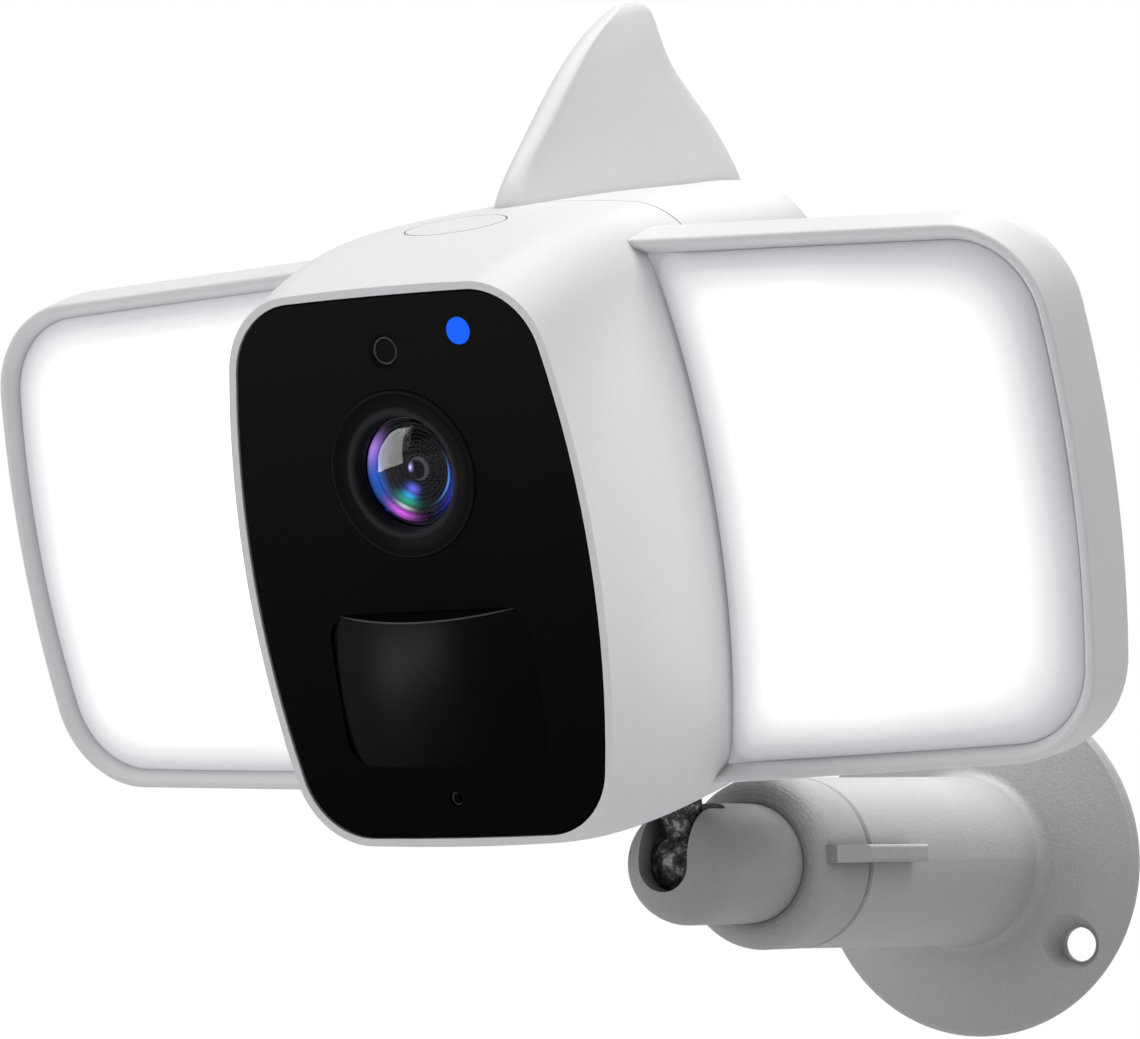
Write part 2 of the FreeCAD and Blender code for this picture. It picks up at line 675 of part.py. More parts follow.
def tripod_insert():
    """Brass insert moulded into the boss; the stud's thread runs in it."""
    body = rod(INSERT_R, V(0, BALL.y, -52.0), V(0, BALL.y, STUD_TOP_Z + 2))
    return body.cut(rod(THREAD_R + 0.05, V(0, BALL.y, -60), V(0, BALL.y, STUD_TOP_Z + 0.6)))


def shell_screws():
    screws = [cap_screw(1.25, 2.9, 2.2, 21.0, V(x, WELL_FLOOR_Y + 2.2, z), V(0, -1, 0)) for x, z in WELLS]
    return Part.makeCompound(screws)


def board_screws():
    """Four screws for the front board, from behind, and four for the main board, from its front."""
    screws = [cap_screw(1.0, 2.0, 1.2, 5.0, V(x, FRONT_BOARD_Y + BOARD_T + 1.2, z), V(0, -1, 0))
              for x, z in BOARD_PILLARS]
    screws += [cap_screw(0.8, 2.0, 1.2, 7.0, V(x, MAIN_BOARD_Y - 1.2, z), V(0, 1, 0))
               for x, z in MAIN_SCREWS]
    return Part.makeCompound(screws)


# ---------------------------------------------------------------- antenna fin
def fin_wire(z, crease, bulge, front, tail, half, inset=0.0):
    """Plan of the fin at one height: a blunt bow, a soft crease, full flanks, a rounded stern."""
    front_y = crease + inset * 1.5
    tail_y = tail - inset * 1.5
    w = max(half - inset, 0.35)
    f = max(min(front - inset * 0.3, w * 0.85), 0.25)
    right = [(f * t, front_y - bulge * (1 - t * t)) for t in (0.0, 0.35, 0.7, 0.93)]
    steps = 14
    for i in range(1, steps + 1):
        u = (i / steps) ** 1.25
        t = min(u / 0.72, 1.0)
        full = 1 - (1 - t) ** 2
        hollow = t * t * (3 - 2 * t)
        stern = 1.0 if u < 0.84 else math.sqrt(max(1 - ((u - 0.84) / 0.16) ** 2.4, 0.0))
        x = (f + (w - f) * (full + hollow) / 2) * stern
        right.append((x, front_y + 0.25 + u * (tail_y - front_y - 0.25)))
    ring = right[:-1] + [(0.0, tail_y)] + [(-x, y) for x, y in reversed(right[1:-1])]
    curve = Part.BSplineCurve()
    curve.interpolate(Points=[V(x, y, z) for x, y in ring], PeriodicFlag=True)
    return Part.Wire([curve.toShape()])


def fin_solid(inset=0.0):
    rows = FIN if inset == 0 else FIN[:FIN_HOLLOW_ROWS]
    return Part.makeLoft([fin_wire(*row, inset) for row in rows], True, False)


def antenna_fin():
    """Hollow cover with a ribbed post for each screw."""
    fin = fin_solid().cut(OUTER).cut(fin_solid(FIN_WALL))
    mid_wall = fin_solid(FIN_WALL / 2)
    for y in FIN_SCREW_Y:
        post = rod(3.0, V(0, y, 48), V(0, y, FIN_RIB_TOP))
        rib = box(-16, 16, y - 0.8, y + 0.8, 48, FIN_RIB_TOP)
        fin = fin.fuse(post.fuse(rib).common(mid_wall).cut(OUTER_CLEAR))
        fin = fin.cut(rod(1.0, V(0, y, 40), V(0, y, FIN_RIB_TOP - 2)))
    return fin.removeSplitter()


def antenna_element():
    blade = box(-0.4, 0.4, 70.0, 88.0, 57.5, 72.0)
    foot = rod(1.2, V(0, ANTENNA_Y, 46.0), V(0, ANTENNA_Y, 58.0))
    return blade.fuse(foot).removeSplitter()


def fin_screws():
    screws = []
    for y, z in zip(FIN_SCREW_Y, FIN_SCREW_Z):
        screws.append(cap_screw(1.0, 2.2, 1.4, 10.0, V(0, y, z - 1.4), V(0, 0, 1)))
    return Part.makeCompound(screws)


# ---------------------------------------------------------------- lamps
def lamp_block():
    """Outer solid of the right lamp, trimmed by the casing."""
    body = loft([lamp_wire(LAMP_LIP_Y, LAMP_LIP), lamp_wire(LAMP_MID_Y, LAMP_LIP + LAMP_FLARE),
                 lamp_wire(LAMP_BACK_Y, LAMP_LIP + LAMP_FLARE)])
    back = [e for e in body.Edges
            if all(abs(v.Y - LAMP_BACK_Y) < 1e-6 for v in e.Vertexes)
            and any(v.X > LAMP_INNER_X + 1 for v in e.Vertexes)]
    body = body.makeFillet(LAMP_BACK_FILLET, back)
    front = [e for e in body.Edges
             if all(abs(v.Y - LAMP_LIP_Y) < 1e-6 for v in e.Vertexes)
             and any(v.X > LAMP_INNER_X + 1 for v in e.Vertexes)]
    body = body.makeFillet(LAMP_LIP_ROUND, front)
    return body.cut(OUTER)


def lamp_housing():
    block = lamp_block()
    bevel = loft([lamp_wire(LAMP_LIP_Y + y, grow) for y, grow in LIP_INSIDE]
                 + [lamp_wire(DIFFUSER_Y, -DIFFUSER_INSET)])
    well = prism(lamp_wire(DIFFUSER_Y - 0.01, -DIFFUSER_INSET), LAMP_BACK_Y - LAMP_WALL - DIFFUSER_Y)
    seat = prism(lamp_wire(DIFFUSER_Y - 0.01, -DIFFUSER_INSET), DIFFUSER_T + 0.01)
    housing = block.cut(bevel).cut(seat).cut(well.cut(GROWN))
    ledge = prism(lamp_wire(DIFFUSER_Y + DIFFUSER_T, -DIFFUSER_INSET), 2.0)
    ledge = ledge.cut(prism(lamp_wire(DIFFUSER_Y, -DIFFUSER_INSET - 2.0), 12.0)).cut(OUTER)
    housing = housing.fuse(ledge)
    for z in LAMP_SCREW_Z:
        boss = rod(2.7, V(34, LAMP_SCREW_Y, z), V(47.5, LAMP_SCREW_Y, z)).cut(OUTER)
        housing = housing.fuse(boss)
        housing = housing.cut(rod(1.0, V(30, LAMP_SCREW_Y, z), V(46.5, LAMP_SCREW_Y, z)))
    housing = housing.cut(rod(3.0, V(25, LAMP_SCREW_Y, 0), V(50, LAMP_SCREW_Y, 0)))
    return housing.removeSplitter()


def lamp_diffuser():
    """Opal cover, bowed outwards, with rounded edges."""
    plate = prism(lamp_wire(DIFFUSER_Y - 2.0, -DIFFUSER_INSET - 0.15), DIFFUSER_T + 2.0)
    x, z = DIFFUSER_CENTRE
    middle = V(x, DIFFUSER_Y - DIFFUSER_CROWN + DIFFUSER_CROWN_R, z)
    plate = plate.common(Part.makeSphere(DIFFUSER_CROWN_R, middle))
    plate = plate.cut(OUTER_CLEARANCE)
    hollow_c = V(x, DIFFUSER_Y + 0.1 + DIFFUSER_CROWN_R, z)
    hollow = prism(lamp_wire(DIFFUSER_Y - 2.0, -DIFFUSER_INSET - 2.4), 8.0)
    hollow = hollow.common(Part.makeSphere(DIFFUSER_CROWN_R, hollow_c)).cut(GROWN_WIDE)
    return plate.cut(hollow)


def led_board():
    plate = prism(lamp_wire(LED_BOARD_Y, -DIFFUSER_INSET - 3.0), BOARD_T)
    return plate.cut(GROWN_WIDE)


def led_chips():
    chips = []
    for i in range(LED_COLUMNS):
        for j in range(LED_ROWS):
            x = 54.0 + i * 14.5
            z = -32.0 + j * 16.0
            chips.append(box(x - 1.75, x + 1.75, LED_BOARD_Y - 0.8, LED_BOARD_Y, z - 1.4, z + 1.4))
    return Part.makeCompound(chips)


def lamp_screws():
    """Screws from inside the casing into each lamp's two bosses."""
    screws = []
    for z in LAMP_SCREW_Z:
        wall_x = side_x(LAMP_SCREW_Y, z) - WALL
        right = cap_screw(1.0, 2.4, 1.4, 8.0, V(wall_x - 1.9, LAMP_SCREW_Y, z), V(1, 0, 0))
        screws += [right, mirror_x(right)]
    return Part.makeCompound(screws)


def side_x(y, z):
    """Half width of the casing at a depth and height on its bowed side."""
    for a, b in zip(STATIONS, STATIONS[1:]):
        if a[0] <= y <= b[0]:
            w = a[1] + (b[1] - a[1]) * (y - a[0]) / (b[0] - a[0])
            return w - SIDE_R + math.sqrt(SIDE_R ** 2 - z ** 2)
    raise ValueError("outside the casing")


# ---------------------------------------------------------------- bracket
def around_y(pts):
    """Revolve (radius, y) points round the tube's axis."""
    line = Part.makePolygon([V(r, y, 0) for r, y in pts + pts[:1]])
    return Part.Face(line).revolve(V(0, 0, 0), V(0, 1, 0), 360)


def straight(pts):
    """Edges joining (radius, y) points in order."""
    return [Part.makeLine(V(a[0], a[1], 0), V(b[0], b[1], 0)) for a, b in zip(pts, pts[1:])]


def ring_arc(pts):
    """Edge through three (radius, y) points."""
    return Part.Arc(*[V(r, y, 0) for r, y in pts]).toShape()


def fixing_points():
    points = []
    for i in range(FIXING_COUNT):
        a = math.radians(FIXING_PHASE + 360.0 * i / FIXING_COUNT)
        points.append((FIXING_PCD_R * math.cos(a), FIXING_PCD_R * math.sin(a)))
    return points


def wall_bracket():
    """Domed flange, hollow tube and the threaded spigot the collar runs on."""
    rim = [(0, 0), (FLANGE_R - 0.6, 0), (FLANGE_R, -0.6), (FLANGE_R, -FLANGE_T + 0.8),
           (FLANGE_R - 0.9, -FLANGE_T)]
    dome = [rim[-1], (27.3, -4.84), (19.31, -7.48)]
    foot = [dome[-1], (17.85, -8.57), (17.3, -10.31)]
    barrel = [
        foot[-1], (TUBE_R, TUBE_END_Y + 0.5), (TUBE_R - 0.5, TUBE_END_Y), (SPIGOT_R, TUBE_END_Y),
        (SPIGOT_R, SPIGOT_END_Y + 0.6), (SPIGOT_R - 0.6, SPIGOT_END_Y), (0, SPIGOT_END_Y), rim[0],
    ]
    outline = Part.Wire(straight(rim) + [ring_arc(dome), ring_arc(foot)] + straight(barrel))
    body = Part.Face(outline).revolve(V(0, 0, 0), V(0, 1, 0), 360)
    bore = around_y([(0, -TUBE_BORE_DEPTH), (TUBE_BORE_R, -TUBE_BORE_DEPTH), (TUBE_BORE_R, 1), (0, 1)])
    body = body.cut(bore)
    for x, z in fixing_points():
        dish = Part.makeCone(DISH_FLOOR_R, DISH_FLOOR_R + 5.2, 9.0, V(x, DISH_FLOOR_Y, z), V(0, -1, 0))
        body = body.cut(dish)
        body = body.cut(rod(FIXING_HOLE_R, V(x, 1, z), V(x, -9, z)))
    return body.removeSplitter()


def clamp_collar():
    """Threaded ring: its mouth traps the knuckle's shoulder, its skirt runs on the spigot."""
    back = TUBE_END_Y - COLLAR_GAP
    front = COLLAR_FRONT_Y
    rim = []
    steps = 8
    round_r = 5.0
    for i in range(steps + 1):
        a = math.pi / 2 * i / steps
        rim.append((COLLAR_R - round_r + round_r * math.cos(a), front + round_r - round_r * math.sin(a)))
    outer = [(SPIGOT_R + 0.05, back), (COLLAR_R - 0.4, back), (COLLAR_R, back - 0.4)]
    outer += rim
    outer += [(COLLAR_MOUTH_R, front), (COLLAR_MOUTH_R, front + 3.6), (SPIGOT_R + 0.05, front + 3.6)]
    ring = around_y(outer)
    root = COLLAR_R - 2.0
    top = COLLAR_R + WING_H
    side = [(root, WING_START_Y), (COLLAR_R + 1.2, WING_START_Y), (top, WING_START_Y + WING_RAMP),
            (top, WING_END_Y), (root, WING_END_Y), (root, WING_START_Y)]
    side = Part.makePolygon([V(x, y, WING_Z - WING_T / 2) for x, y in side])
    wing = Part.Face(side).extrude(V(0, 0, WING_T))
    tip = [e for e in wing.Edges if all(v.X > COLLAR_R + WING_H - 0.1 for v in e.Vertexes)]
    wing = wing.makeFillet(0.7, tip)
    wing = wing.cut(rod(COLLAR_R - 1.0, V(0, WING_START_Y - 1, 0), V(0, back, 0)))
    wing = wing.cut(rod(TUBE_R + 0.4, V(0, back, 0), V(0, 0, 0)))
    return ring.fuse(wing).removeSplitter()


def socket_knuckle():
    """Ball socket: round nose with a slot for the stud, shoulder inside the collar."""
    nose = Part.makeSphere(KNUCKLE_R, V(0, BALL_Y, 0))
    stem = rod(KNUCKLE_R, V(0, BALL_Y, 0), V(0, SHOULDER_BACK_Y, 0))
    shoulder = rod(SHOULDER_R, V(0, COLLAR_FRONT_Y + 3.9, 0), V(0, SHOULDER_BACK_Y, 0))
    body = nose.fuse(stem).fuse(shoulder)
    body = body.cut(Part.makeSphere(BALL_R + 0.06, V(0, BALL_Y, 0)))
    body = body.cut(rod(BALL_R + 0.06, V(0, BALL_Y, 0), V(0, 0, 0)))
    # slot: from the nose's tip up and over the top
    tip_end = rod(SLOT_HALF, V(0, BALL_Y, 0), V(0, BALL_Y - 20, 0))
    band = box(-SLOT_HALF, SLOT_HALF, BALL_Y - 20, BALL_Y, 0, 20)
    top_end = rod(SLOT_HALF, V(0, BALL_Y + SLOT_BACK, 0), V(0, BALL_Y + SLOT_BACK, 20))
    top_band = box(-SLOT_HALF, SLOT_HALF, BALL_Y, BALL_Y + SLOT_BACK, 0, 20)
    for c in (tip_end, band, top_band, top_end):
        body = body.cut(c)
    return body.removeSplitter()


def ball_seat():
    """Pressure pad between the bracket's spigot and the ball."""
    pad = rod(BALL_R - 0.1, V(0, BALL_Y + SEAT_FRONT, 0), V(0, SPIGOT_END_Y - 0.35, 0))
    return pad.cut(Part.makeSphere(BALL_R + 0.05, V(0, BALL_Y, 0)))


def ball_stud():
    """Ball, round neck, hexagon for a spanner and the thread into the head; head frame."""
    c = BALL
    ball = Part.makeSphere(BALL_R, c)
    neck = rod(NECK_R, c, c + V(0, 0, 12.6))
    hexagon = hex_prism(4.2, c + V(0, 0, 12.1), 3.7)
    thread = rod(THREAD_R, c + V(0, 0, 12.0), V(c.x, c.y, STUD_TOP_Z))
    return fuse_all([ball, neck, hexagon, thread])


def hex_prism(across_half, base, height):
    r = across_half / math.cos(math.pi / 6)
    pts = [base + V(r * math.cos(a), r * math.sin(a), 0) for a in
           [math.pi / 3 * i for i in range(7)]]
    return Part.Face(Part.makePolygon(pts)).extrude(V(0, 0, height))


def lock_nut():
    """Thin nut that locks the head on the stud."""
    base = BALL + V(0, 0, 15.9)
    nut = hex_prism(5.5, base, 3.2)
    return nut.cut(rod(THREAD_R, base - V(0, 0, 5), base + V(0, 0, 9)))


# ---------------------------------------------------------------- build
def head_placement():
    tilt = FreeCAD.Rotation(V(1, 0, 0), REST_TILT)
    pan = FreeCAD.Rotation(V(0, 0, 1), REST_PAN)
    turn = tilt.multiply(pan)
    return FreeCAD.Placement(V(0, BALL_Y, 0) - turn.multVec(BALL), turn)


OUTER = casing()
OUTER_CLEAR = casing(-0.1)
INNER = casing(WALL)
OUTER_SKIN = casing(0.6)
GROWN = casing(-1.0)
OUTER_CLEARANCE = casing(-0.15)
GROWN_WIDE = casing(-4.0)

HEAD_PARTS = {
    "front_shell": front_shell, "rear_shell": rear_shell, "shell_seal": shell_seal,
    "front_panel": front_panel, "panel_gasket": panel_gasket, "lens_bezel": lens_bezel,
    "lens_glass": lens_glass, "lens_barrel": lens_barrel, "image_sensor_board": image_sensor_board,
    "light_sensor_window": light_sensor_window, "light_sensor": light_sensor,
    "status_light_pipe": status_light_pipe, "status_led": status_led, "pir_lens": pir_lens,
    "pir_sensor": pir_sensor, "microphone": microphone, "mic_boot": mic_boot,
    "front_board": front_board, "main_board": main_board, "board_components": board_components,
    "battery_cells": battery_cells, "battery_cradle": battery_cradle, "speaker": speaker,
    "service_plug": service_plug, "service_board": service_board, "memory_card": memory_card,
    "reset_button": reset_button, "reset_switch": reset_switch, "tripod_insert": tripod_insert,
    "shell_screws": shell_screws, "board_screws": board_screws, "antenna_fin": antenna_fin,
    "antenna_element": antenna_element, "fin_screws": fin_screws, "lamp_screws": lamp_screws,
    "ball_stud": ball_stud, "lock_nut": lock_nut,
}
LAMP_PARTS = {
    "lamp_housing": lamp_housing, "lamp_diffuser": lamp_diffuser,
    "led_board": led_board, "led_chips": led_chips,
}
BRACKET_PARTS = {
    "wall_bracket": wall_bracket, "clamp_collar": clamp_collar,
    "socket_knuckle": socket_knuckle, "ball_seat": ball_seat,
}


def write(name, shape):
    solids = shape.Solids
    volume = sum(s.Volume for s in solids)
    print("%-22s solids %2d  valid %s  volume %10.1f" % (name, len(solids), shape.isValid(), volume))
    shape.exportStep("parts/%s.step" % name)


def main():
    os.makedirs("parts", exist_ok=True)
    place = head_placement()
    for name, make in HEAD_PARTS.items():
        shape = make()
        shape.Placement = place.multiply(shape.Placement)
        write(name, shape)
    for name, make in LAMP_PARTS.items():
        right = make()
        left = mirror_x(right)
        for side, shape in (("right", right), ("left", left)):
            placed = shape.copy()
            placed.Placement = place.multiply(placed.Placement)
            write("%s_%s" % (name, side), placed)
    for name, make in BRACKET_PARTS.items():
        write(name, make())


main()
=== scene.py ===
"""Looks of the floodlight security camera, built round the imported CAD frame."""

import json
import math

import bpy
import numpy as np
from mathutils import Matrix, Vector


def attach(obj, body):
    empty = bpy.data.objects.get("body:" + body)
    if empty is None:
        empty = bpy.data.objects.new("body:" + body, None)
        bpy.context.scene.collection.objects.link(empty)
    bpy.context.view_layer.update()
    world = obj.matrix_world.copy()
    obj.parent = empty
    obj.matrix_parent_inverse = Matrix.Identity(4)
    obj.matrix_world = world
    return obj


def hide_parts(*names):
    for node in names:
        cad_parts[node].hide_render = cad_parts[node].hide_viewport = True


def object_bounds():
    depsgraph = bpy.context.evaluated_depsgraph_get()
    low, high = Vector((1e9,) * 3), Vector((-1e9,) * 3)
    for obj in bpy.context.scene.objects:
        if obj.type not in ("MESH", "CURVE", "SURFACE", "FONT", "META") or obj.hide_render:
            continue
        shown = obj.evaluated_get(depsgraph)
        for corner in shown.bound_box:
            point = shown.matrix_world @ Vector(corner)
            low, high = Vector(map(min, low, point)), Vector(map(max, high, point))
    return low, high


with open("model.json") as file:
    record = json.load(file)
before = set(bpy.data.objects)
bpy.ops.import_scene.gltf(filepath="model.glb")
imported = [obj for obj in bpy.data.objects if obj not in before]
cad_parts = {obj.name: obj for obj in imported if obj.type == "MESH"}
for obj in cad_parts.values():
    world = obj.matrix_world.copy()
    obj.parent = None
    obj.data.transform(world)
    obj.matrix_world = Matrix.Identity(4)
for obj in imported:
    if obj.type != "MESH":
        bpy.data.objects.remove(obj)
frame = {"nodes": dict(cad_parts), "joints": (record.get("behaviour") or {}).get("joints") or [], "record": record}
cad_low, cad_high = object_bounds()
NODES = frame["nodes"]
JOINTS = {j["name"]: j for j in frame["joints"]}
MM = 0.001

# ------------------------------------------------------------------ the head's own frame
# Drawn upright: y = 0 is the black panel's plane, y runs back, z = 0 is its mid-height.
REST_PAN = math.radians(-3.65)
BALL_IN_HEAD = Vector((0.0, 70.7, -72.0)) * MM
pan_axis = Vector(JOINTS["head_pan"]["axis"])
REST_TILT = math.atan2(-pan_axis.y, pan_axis.z)
HEAD = (Matrix.Translation(Vector(JOINTS["head_pan"]["pos_m"]))
        @ Matrix.Rotation(REST_TILT, 4, "X")
        @ Matrix.Rotation(REST_PAN, 4, "Z")
        @ Matrix.Translation(-BALL_IN_HEAD))

# camera lens (mm)
LENS_Z = 16.8
BEZEL_R = 14.8
GLASS_R = 9.6
GLASS_BOW_R = 17.0       # radius of the front glass's dome
PUPIL_R = 2.2
STACK_BACK = 9.0

# small holes in the panel (mm)
SENSOR_Z = 38.4
SENSOR_R = 2.5
MIC_Z = -41.1
MIC_R = 1.3

# motion window (mm): a face bowed both ways, cut off at the top by a slope
PIR_Z = -21.1
PIR_HALF_H = 13.6
PIR_FRONT = -3.6
PIR_BOW_X = 56.0
PIR_BOW_Z = 120.0
PIR_SLOPE_Y = 0.9
PIR_SLOPE_DROP = 1.9
CREST_R = 0.16
CREST_HALF_W = 18.6
CREST_STEPS = 60
CREST_SIDES = 10

# opal lamp covers (mm)
COVER_Y = 34.2           # plane of the frame that holds the cover
COVER_FRONT = 1.9        # how far the cover's middle stands in front of that plane
COVER_BACK = 2.2         # and how far its brim reaches behind it
COVER_CROWN_R = 900.0
OUTLINE_POINTS = 720
ROLL_R = 2.6             # width of the rolled edge
ROLL_DROP = 0.35         # share of that width by which the edge falls back
GLOW_K = 2.2             # length over which an edge's shade fades into the glow
FAR_SPREAD = 0.45        # extra fade at the right lamp's far side
BODY_BAND = 7.0          # strip beside the camera body with its own shade
# how strongly the top, bottom and body-side edges are shaded
EDGE_SHADE = {"right": (1.0, 0.86, 0.66), "left": (0.72, 0.66, 0.66)}

# floor (m)
FLOOR_DROP = 0.12
FLOOR_RINGS = (0.35, 0.8, 1.5, 3.0, 6.0, 12.0)
FLOOR_STEPS = 96
FLOOR_FADE = (0.5, 2.2)  # from grey floor to the white backdrop

# glint lamps: name, from where, which way, width and height, watts, the piece it lights
GLINT_DISTANCE = 0.7
GLINTS = [
    ("window_glint", "lens", (-0.876, -0.457, 0.155), (0.66, 0.46), 15.0, "glass"),
    ("pane_glint", "lens", (-0.532, -0.746, 0.402), (0.11, 0.09), 0.30, "glass"),
    ("motion_glint", "window", (-0.69, -0.66, -0.31), (0.42, 0.09), 7.0, "pir_lens"),
]

# camera: position (m), direction and roll (degrees), focal length and film width (mm)
CAMERA_AT = (0.46732, -0.98513, -0.00894)
CAMERA_AZIMUTH = 29.735
CAMERA_ELEVATION = -4.324
CAMERA_ROLL = -1.632
CAMERA_LENS = 165.43
CAMERA_FILM = 36.0


# ------------------------------------------------------------------ node helpers
def new_material(name, **values):
    """A Principled material. Values that are the same all over go on its own sockets."""
    m = bpy.data.materials.new(name)
    m.use_nodes = True
    m.node_tree.nodes.clear()
    out = m.node_tree.nodes.new("ShaderNodeOutputMaterial")
    shader = m.node_tree.nodes.new("ShaderNodeBsdfPrincipled")
    m.node_tree.links.new(shader.outputs[0], out.inputs[0])
    for key, value in values.items():
        shader.inputs[key.replace("_", " ")].default_value = value
    return m, m.node_tree, shader


def add(tree, kind, **settings):
    """A node; each setting is one of its properties, or else the value of one of its inputs."""
    n = tree.nodes.new(kind)
    for key, value in settings.items():
        if key in n.bl_rna.properties.keys():
            setattr(n, key, value)
        else:
            n.inputs[key.replace("_", " ")].default_value = value
    return n


def place(tree):
    """Position on the piece itself, so that a pattern moves with it."""
    return add(tree, "ShaderNodeTexCoord").outputs["Object"]


def noise(tree, scale, detail=2.0, rough=0.5):
    n = add(tree, "ShaderNodeTexNoise", Scale=scale, Detail=detail, Roughness=rough)
    tree.links.new(place(tree), n.inputs["Vector"])
    return n.outputs["Fac"]


def maths(tree, operation, a, b=0.0):
    n = add(tree, "ShaderNodeMath", operation=operation)
    for socket, value in zip(n.inputs, (a, b)):
        if isinstance(value, (int, float)):
            socket.default_value = value
        else:
            tree.links.new(value, socket)
    return n.outputs[0]


def spread(tree, fac, low, high, start=0.3, end=0.7):
    """Map the stretch from start to end on to low to high."""
    n = add(tree, "ShaderNodeMapRange")
    tree.links.new(fac, n.inputs["Value"])
    for key, value in (("From Min", start), ("From Max", end), ("To Min", low), ("To Max", high)):
        n.inputs[key].default_value = value
    return n.outputs["Result"]


def ramp(tree, fac, stops, smooth=False):
    """Colour by position along a list of (position, colour) stops."""
    n = add(tree, "ShaderNodeValToRGB")
    n.color_ramp.interpolation = "EASE" if smooth else "LINEAR"
    while len(n.color_ramp.elements) < len(stops):
        n.color_ramp.elements.new(0.5)
    for element, (position, colour) in zip(n.color_ramp.elements, stops):
        element.position = position
        element.color = (*colour, 1.0)
    tree.links.new(fac, n.inputs["Fac"])
    return n.outputs["Color"]


def grey(value):
    return (value, value, value)


def bump(tree, shader, height, strength, distance):
    n = add(tree, "ShaderNodeBump", Strength=strength, Distance=distance)
    tree.links.new(height, n.inputs["Height"])
    tree.links.new(n.outputs["Normal"], shader.inputs["Normal"])


def grained(name, colour, rough, grain, depth, mottle=0.04, swing=0.06, **values):
    """Moulded, cast or painted surface: fine grain, a little colour and gloss variation."""
    m, tree, shader = new_material(name, **values)
    fine = noise(tree, grain, 3.0, 0.6)
    broad = noise(tree, 18.0, 3.0, 0.55)
    darker = tuple(c * (1 - mottle) for c in colour)
    lighter = tuple(min(c * (1 + mottle), 1.0) for c in colour)
    both = maths(tree, "ADD", maths(tree, "MULTIPLY", fine, 0.6), maths(tree, "MULTIPLY", broad, 0.4))
    tree.links.new(ramp(tree, both, [(0.35, darker), (0.65, lighter)]), shader.inputs["Base Color"])
    tree.links.new(spread(tree, fine, rough - swing, rough + swing), shader.inputs["Roughness"])
    bump(tree, shader, fine, 1.0, depth)
    return m


def crease_shaded(m, floor, distance=0.016):
    """Darken a finished material's colour as painted shade in creases and inner corners."""
    tree = m.node_tree
    shader = next(n for n in tree.nodes if n.type == "BSDF_PRINCIPLED")
    base = shader.inputs["Base Color"]
    colour = base.links[0].from_socket
    # painted shade: ambient occlusion darkens the colour where nearby surfaces close in
    corner = add(tree, "ShaderNodeAmbientOcclusion", samples=6, Distance=distance).outputs["AO"]
    dark = add(tree, "ShaderNodeMix", data_type="RGBA", blend_type="MULTIPLY")
    dark.inputs[0].default_value = 1.0
    tree.links.new(colour, dark.inputs[6])
    tree.links.new(ramp(tree, corner, [(0.15, grey(floor)), (0.95, grey(1.0))]), dark.inputs[7])
    tree.links.new(dark.outputs[2], base)
    return m


def turned_metal(name, colour, rough, scale):
    """Machined metal: fine rings and streaks, worn a little brighter here and there."""
    m, tree, shader = new_material(name, Metallic=1.0)
    streaks = noise(tree, scale, 6.0, 0.7)
    worn = noise(tree, 90.0, 4.0, 0.6)
    dark = tuple(c * 0.55 for c in colour)
    mixed = maths(tree, "MULTIPLY", streaks, worn)
    tree.links.new(ramp(tree, mixed, [(0.12, dark), (0.4, colour)]), shader.inputs["Base Color"])
    tree.links.new(spread(tree, streaks, rough - 0.1, rough + 0.12), shader.inputs["Roughness"])
    bump(tree, shader, streaks, 0.6, 0.00004)
    return m


def mottled_metal(name):
    """Rough-cast dark metal, blotched where its finish has rubbed through."""
    m, tree, shader = new_material(name, Metallic=0.75)
    blotch = noise(tree, 520.0, 6.0, 0.75)
    stops = [(0.36, grey(0.012)), (0.52, (0.07, 0.07, 0.068)), (0.66, (0.40, 0.39, 0.38))]
    tree.links.new(ramp(tree, blotch, stops), shader.inputs["Base Color"])
    tree.links.new(spread(tree, blotch, 0.55, 0.3), shader.inputs["Roughness"])
    bump(tree, shader, blotch, 0.8, 0.00012)
    return m


def board(name, mask, track):
    """Circuit board: solder resist over tracks that follow a square grid of cells."""
    m, tree, shader = new_material(name, Roughness=0.35)
    cells = add(tree, "ShaderNodeTexVoronoi", distance="CHEBYCHEV", feature="F1", Scale=420.0)
    tree.links.new(place(tree), cells.inputs["Vector"])
    lines = cells.outputs["Distance"]
    tree.links.new(ramp(tree, lines, [(0.30, track), (0.36, mask)]), shader.inputs["Base Color"])
    bump(tree, shader, lines, 0.5, 0.00003)
    return m


def panel_material(name):
    """Smoked acrylic: near black, with faint polishing haze, and a trace greyer towards its top as painted sheen.
    """
    m, tree, shader = new_material(name, Specular_IOR_Level=0.035)
    split = add(tree, "ShaderNodeSeparateXYZ")
    tree.links.new(place(tree), split.inputs[0])
    haze = noise(tree, 40.0, 3.0)
    # painted sheen: the colour greys towards the panel's top
    height = maths(tree, "ADD", spread(tree, split.outputs["Z"], 0.0, 1.0, 0.005, 0.1),
                   maths(tree, "MULTIPLY", maths(tree, "SUBTRACT", haze, 0.5), 0.12))
    stops = [(0.0, grey(0.0002)), (0.45, (0.0032, 0.0032, 0.0033)), (1.0, (0.0085, 0.0085, 0.0087))]
    tree.links.new(ramp(tree, height, stops), shader.inputs["Base Color"])
    tree.links.new(spread(tree, haze, 0.27, 0.33), shader.inputs["Roughness"])
    bump(tree, shader, noise(tree, 1800.0, 1.0), 0.3, 0.000002)
    return m


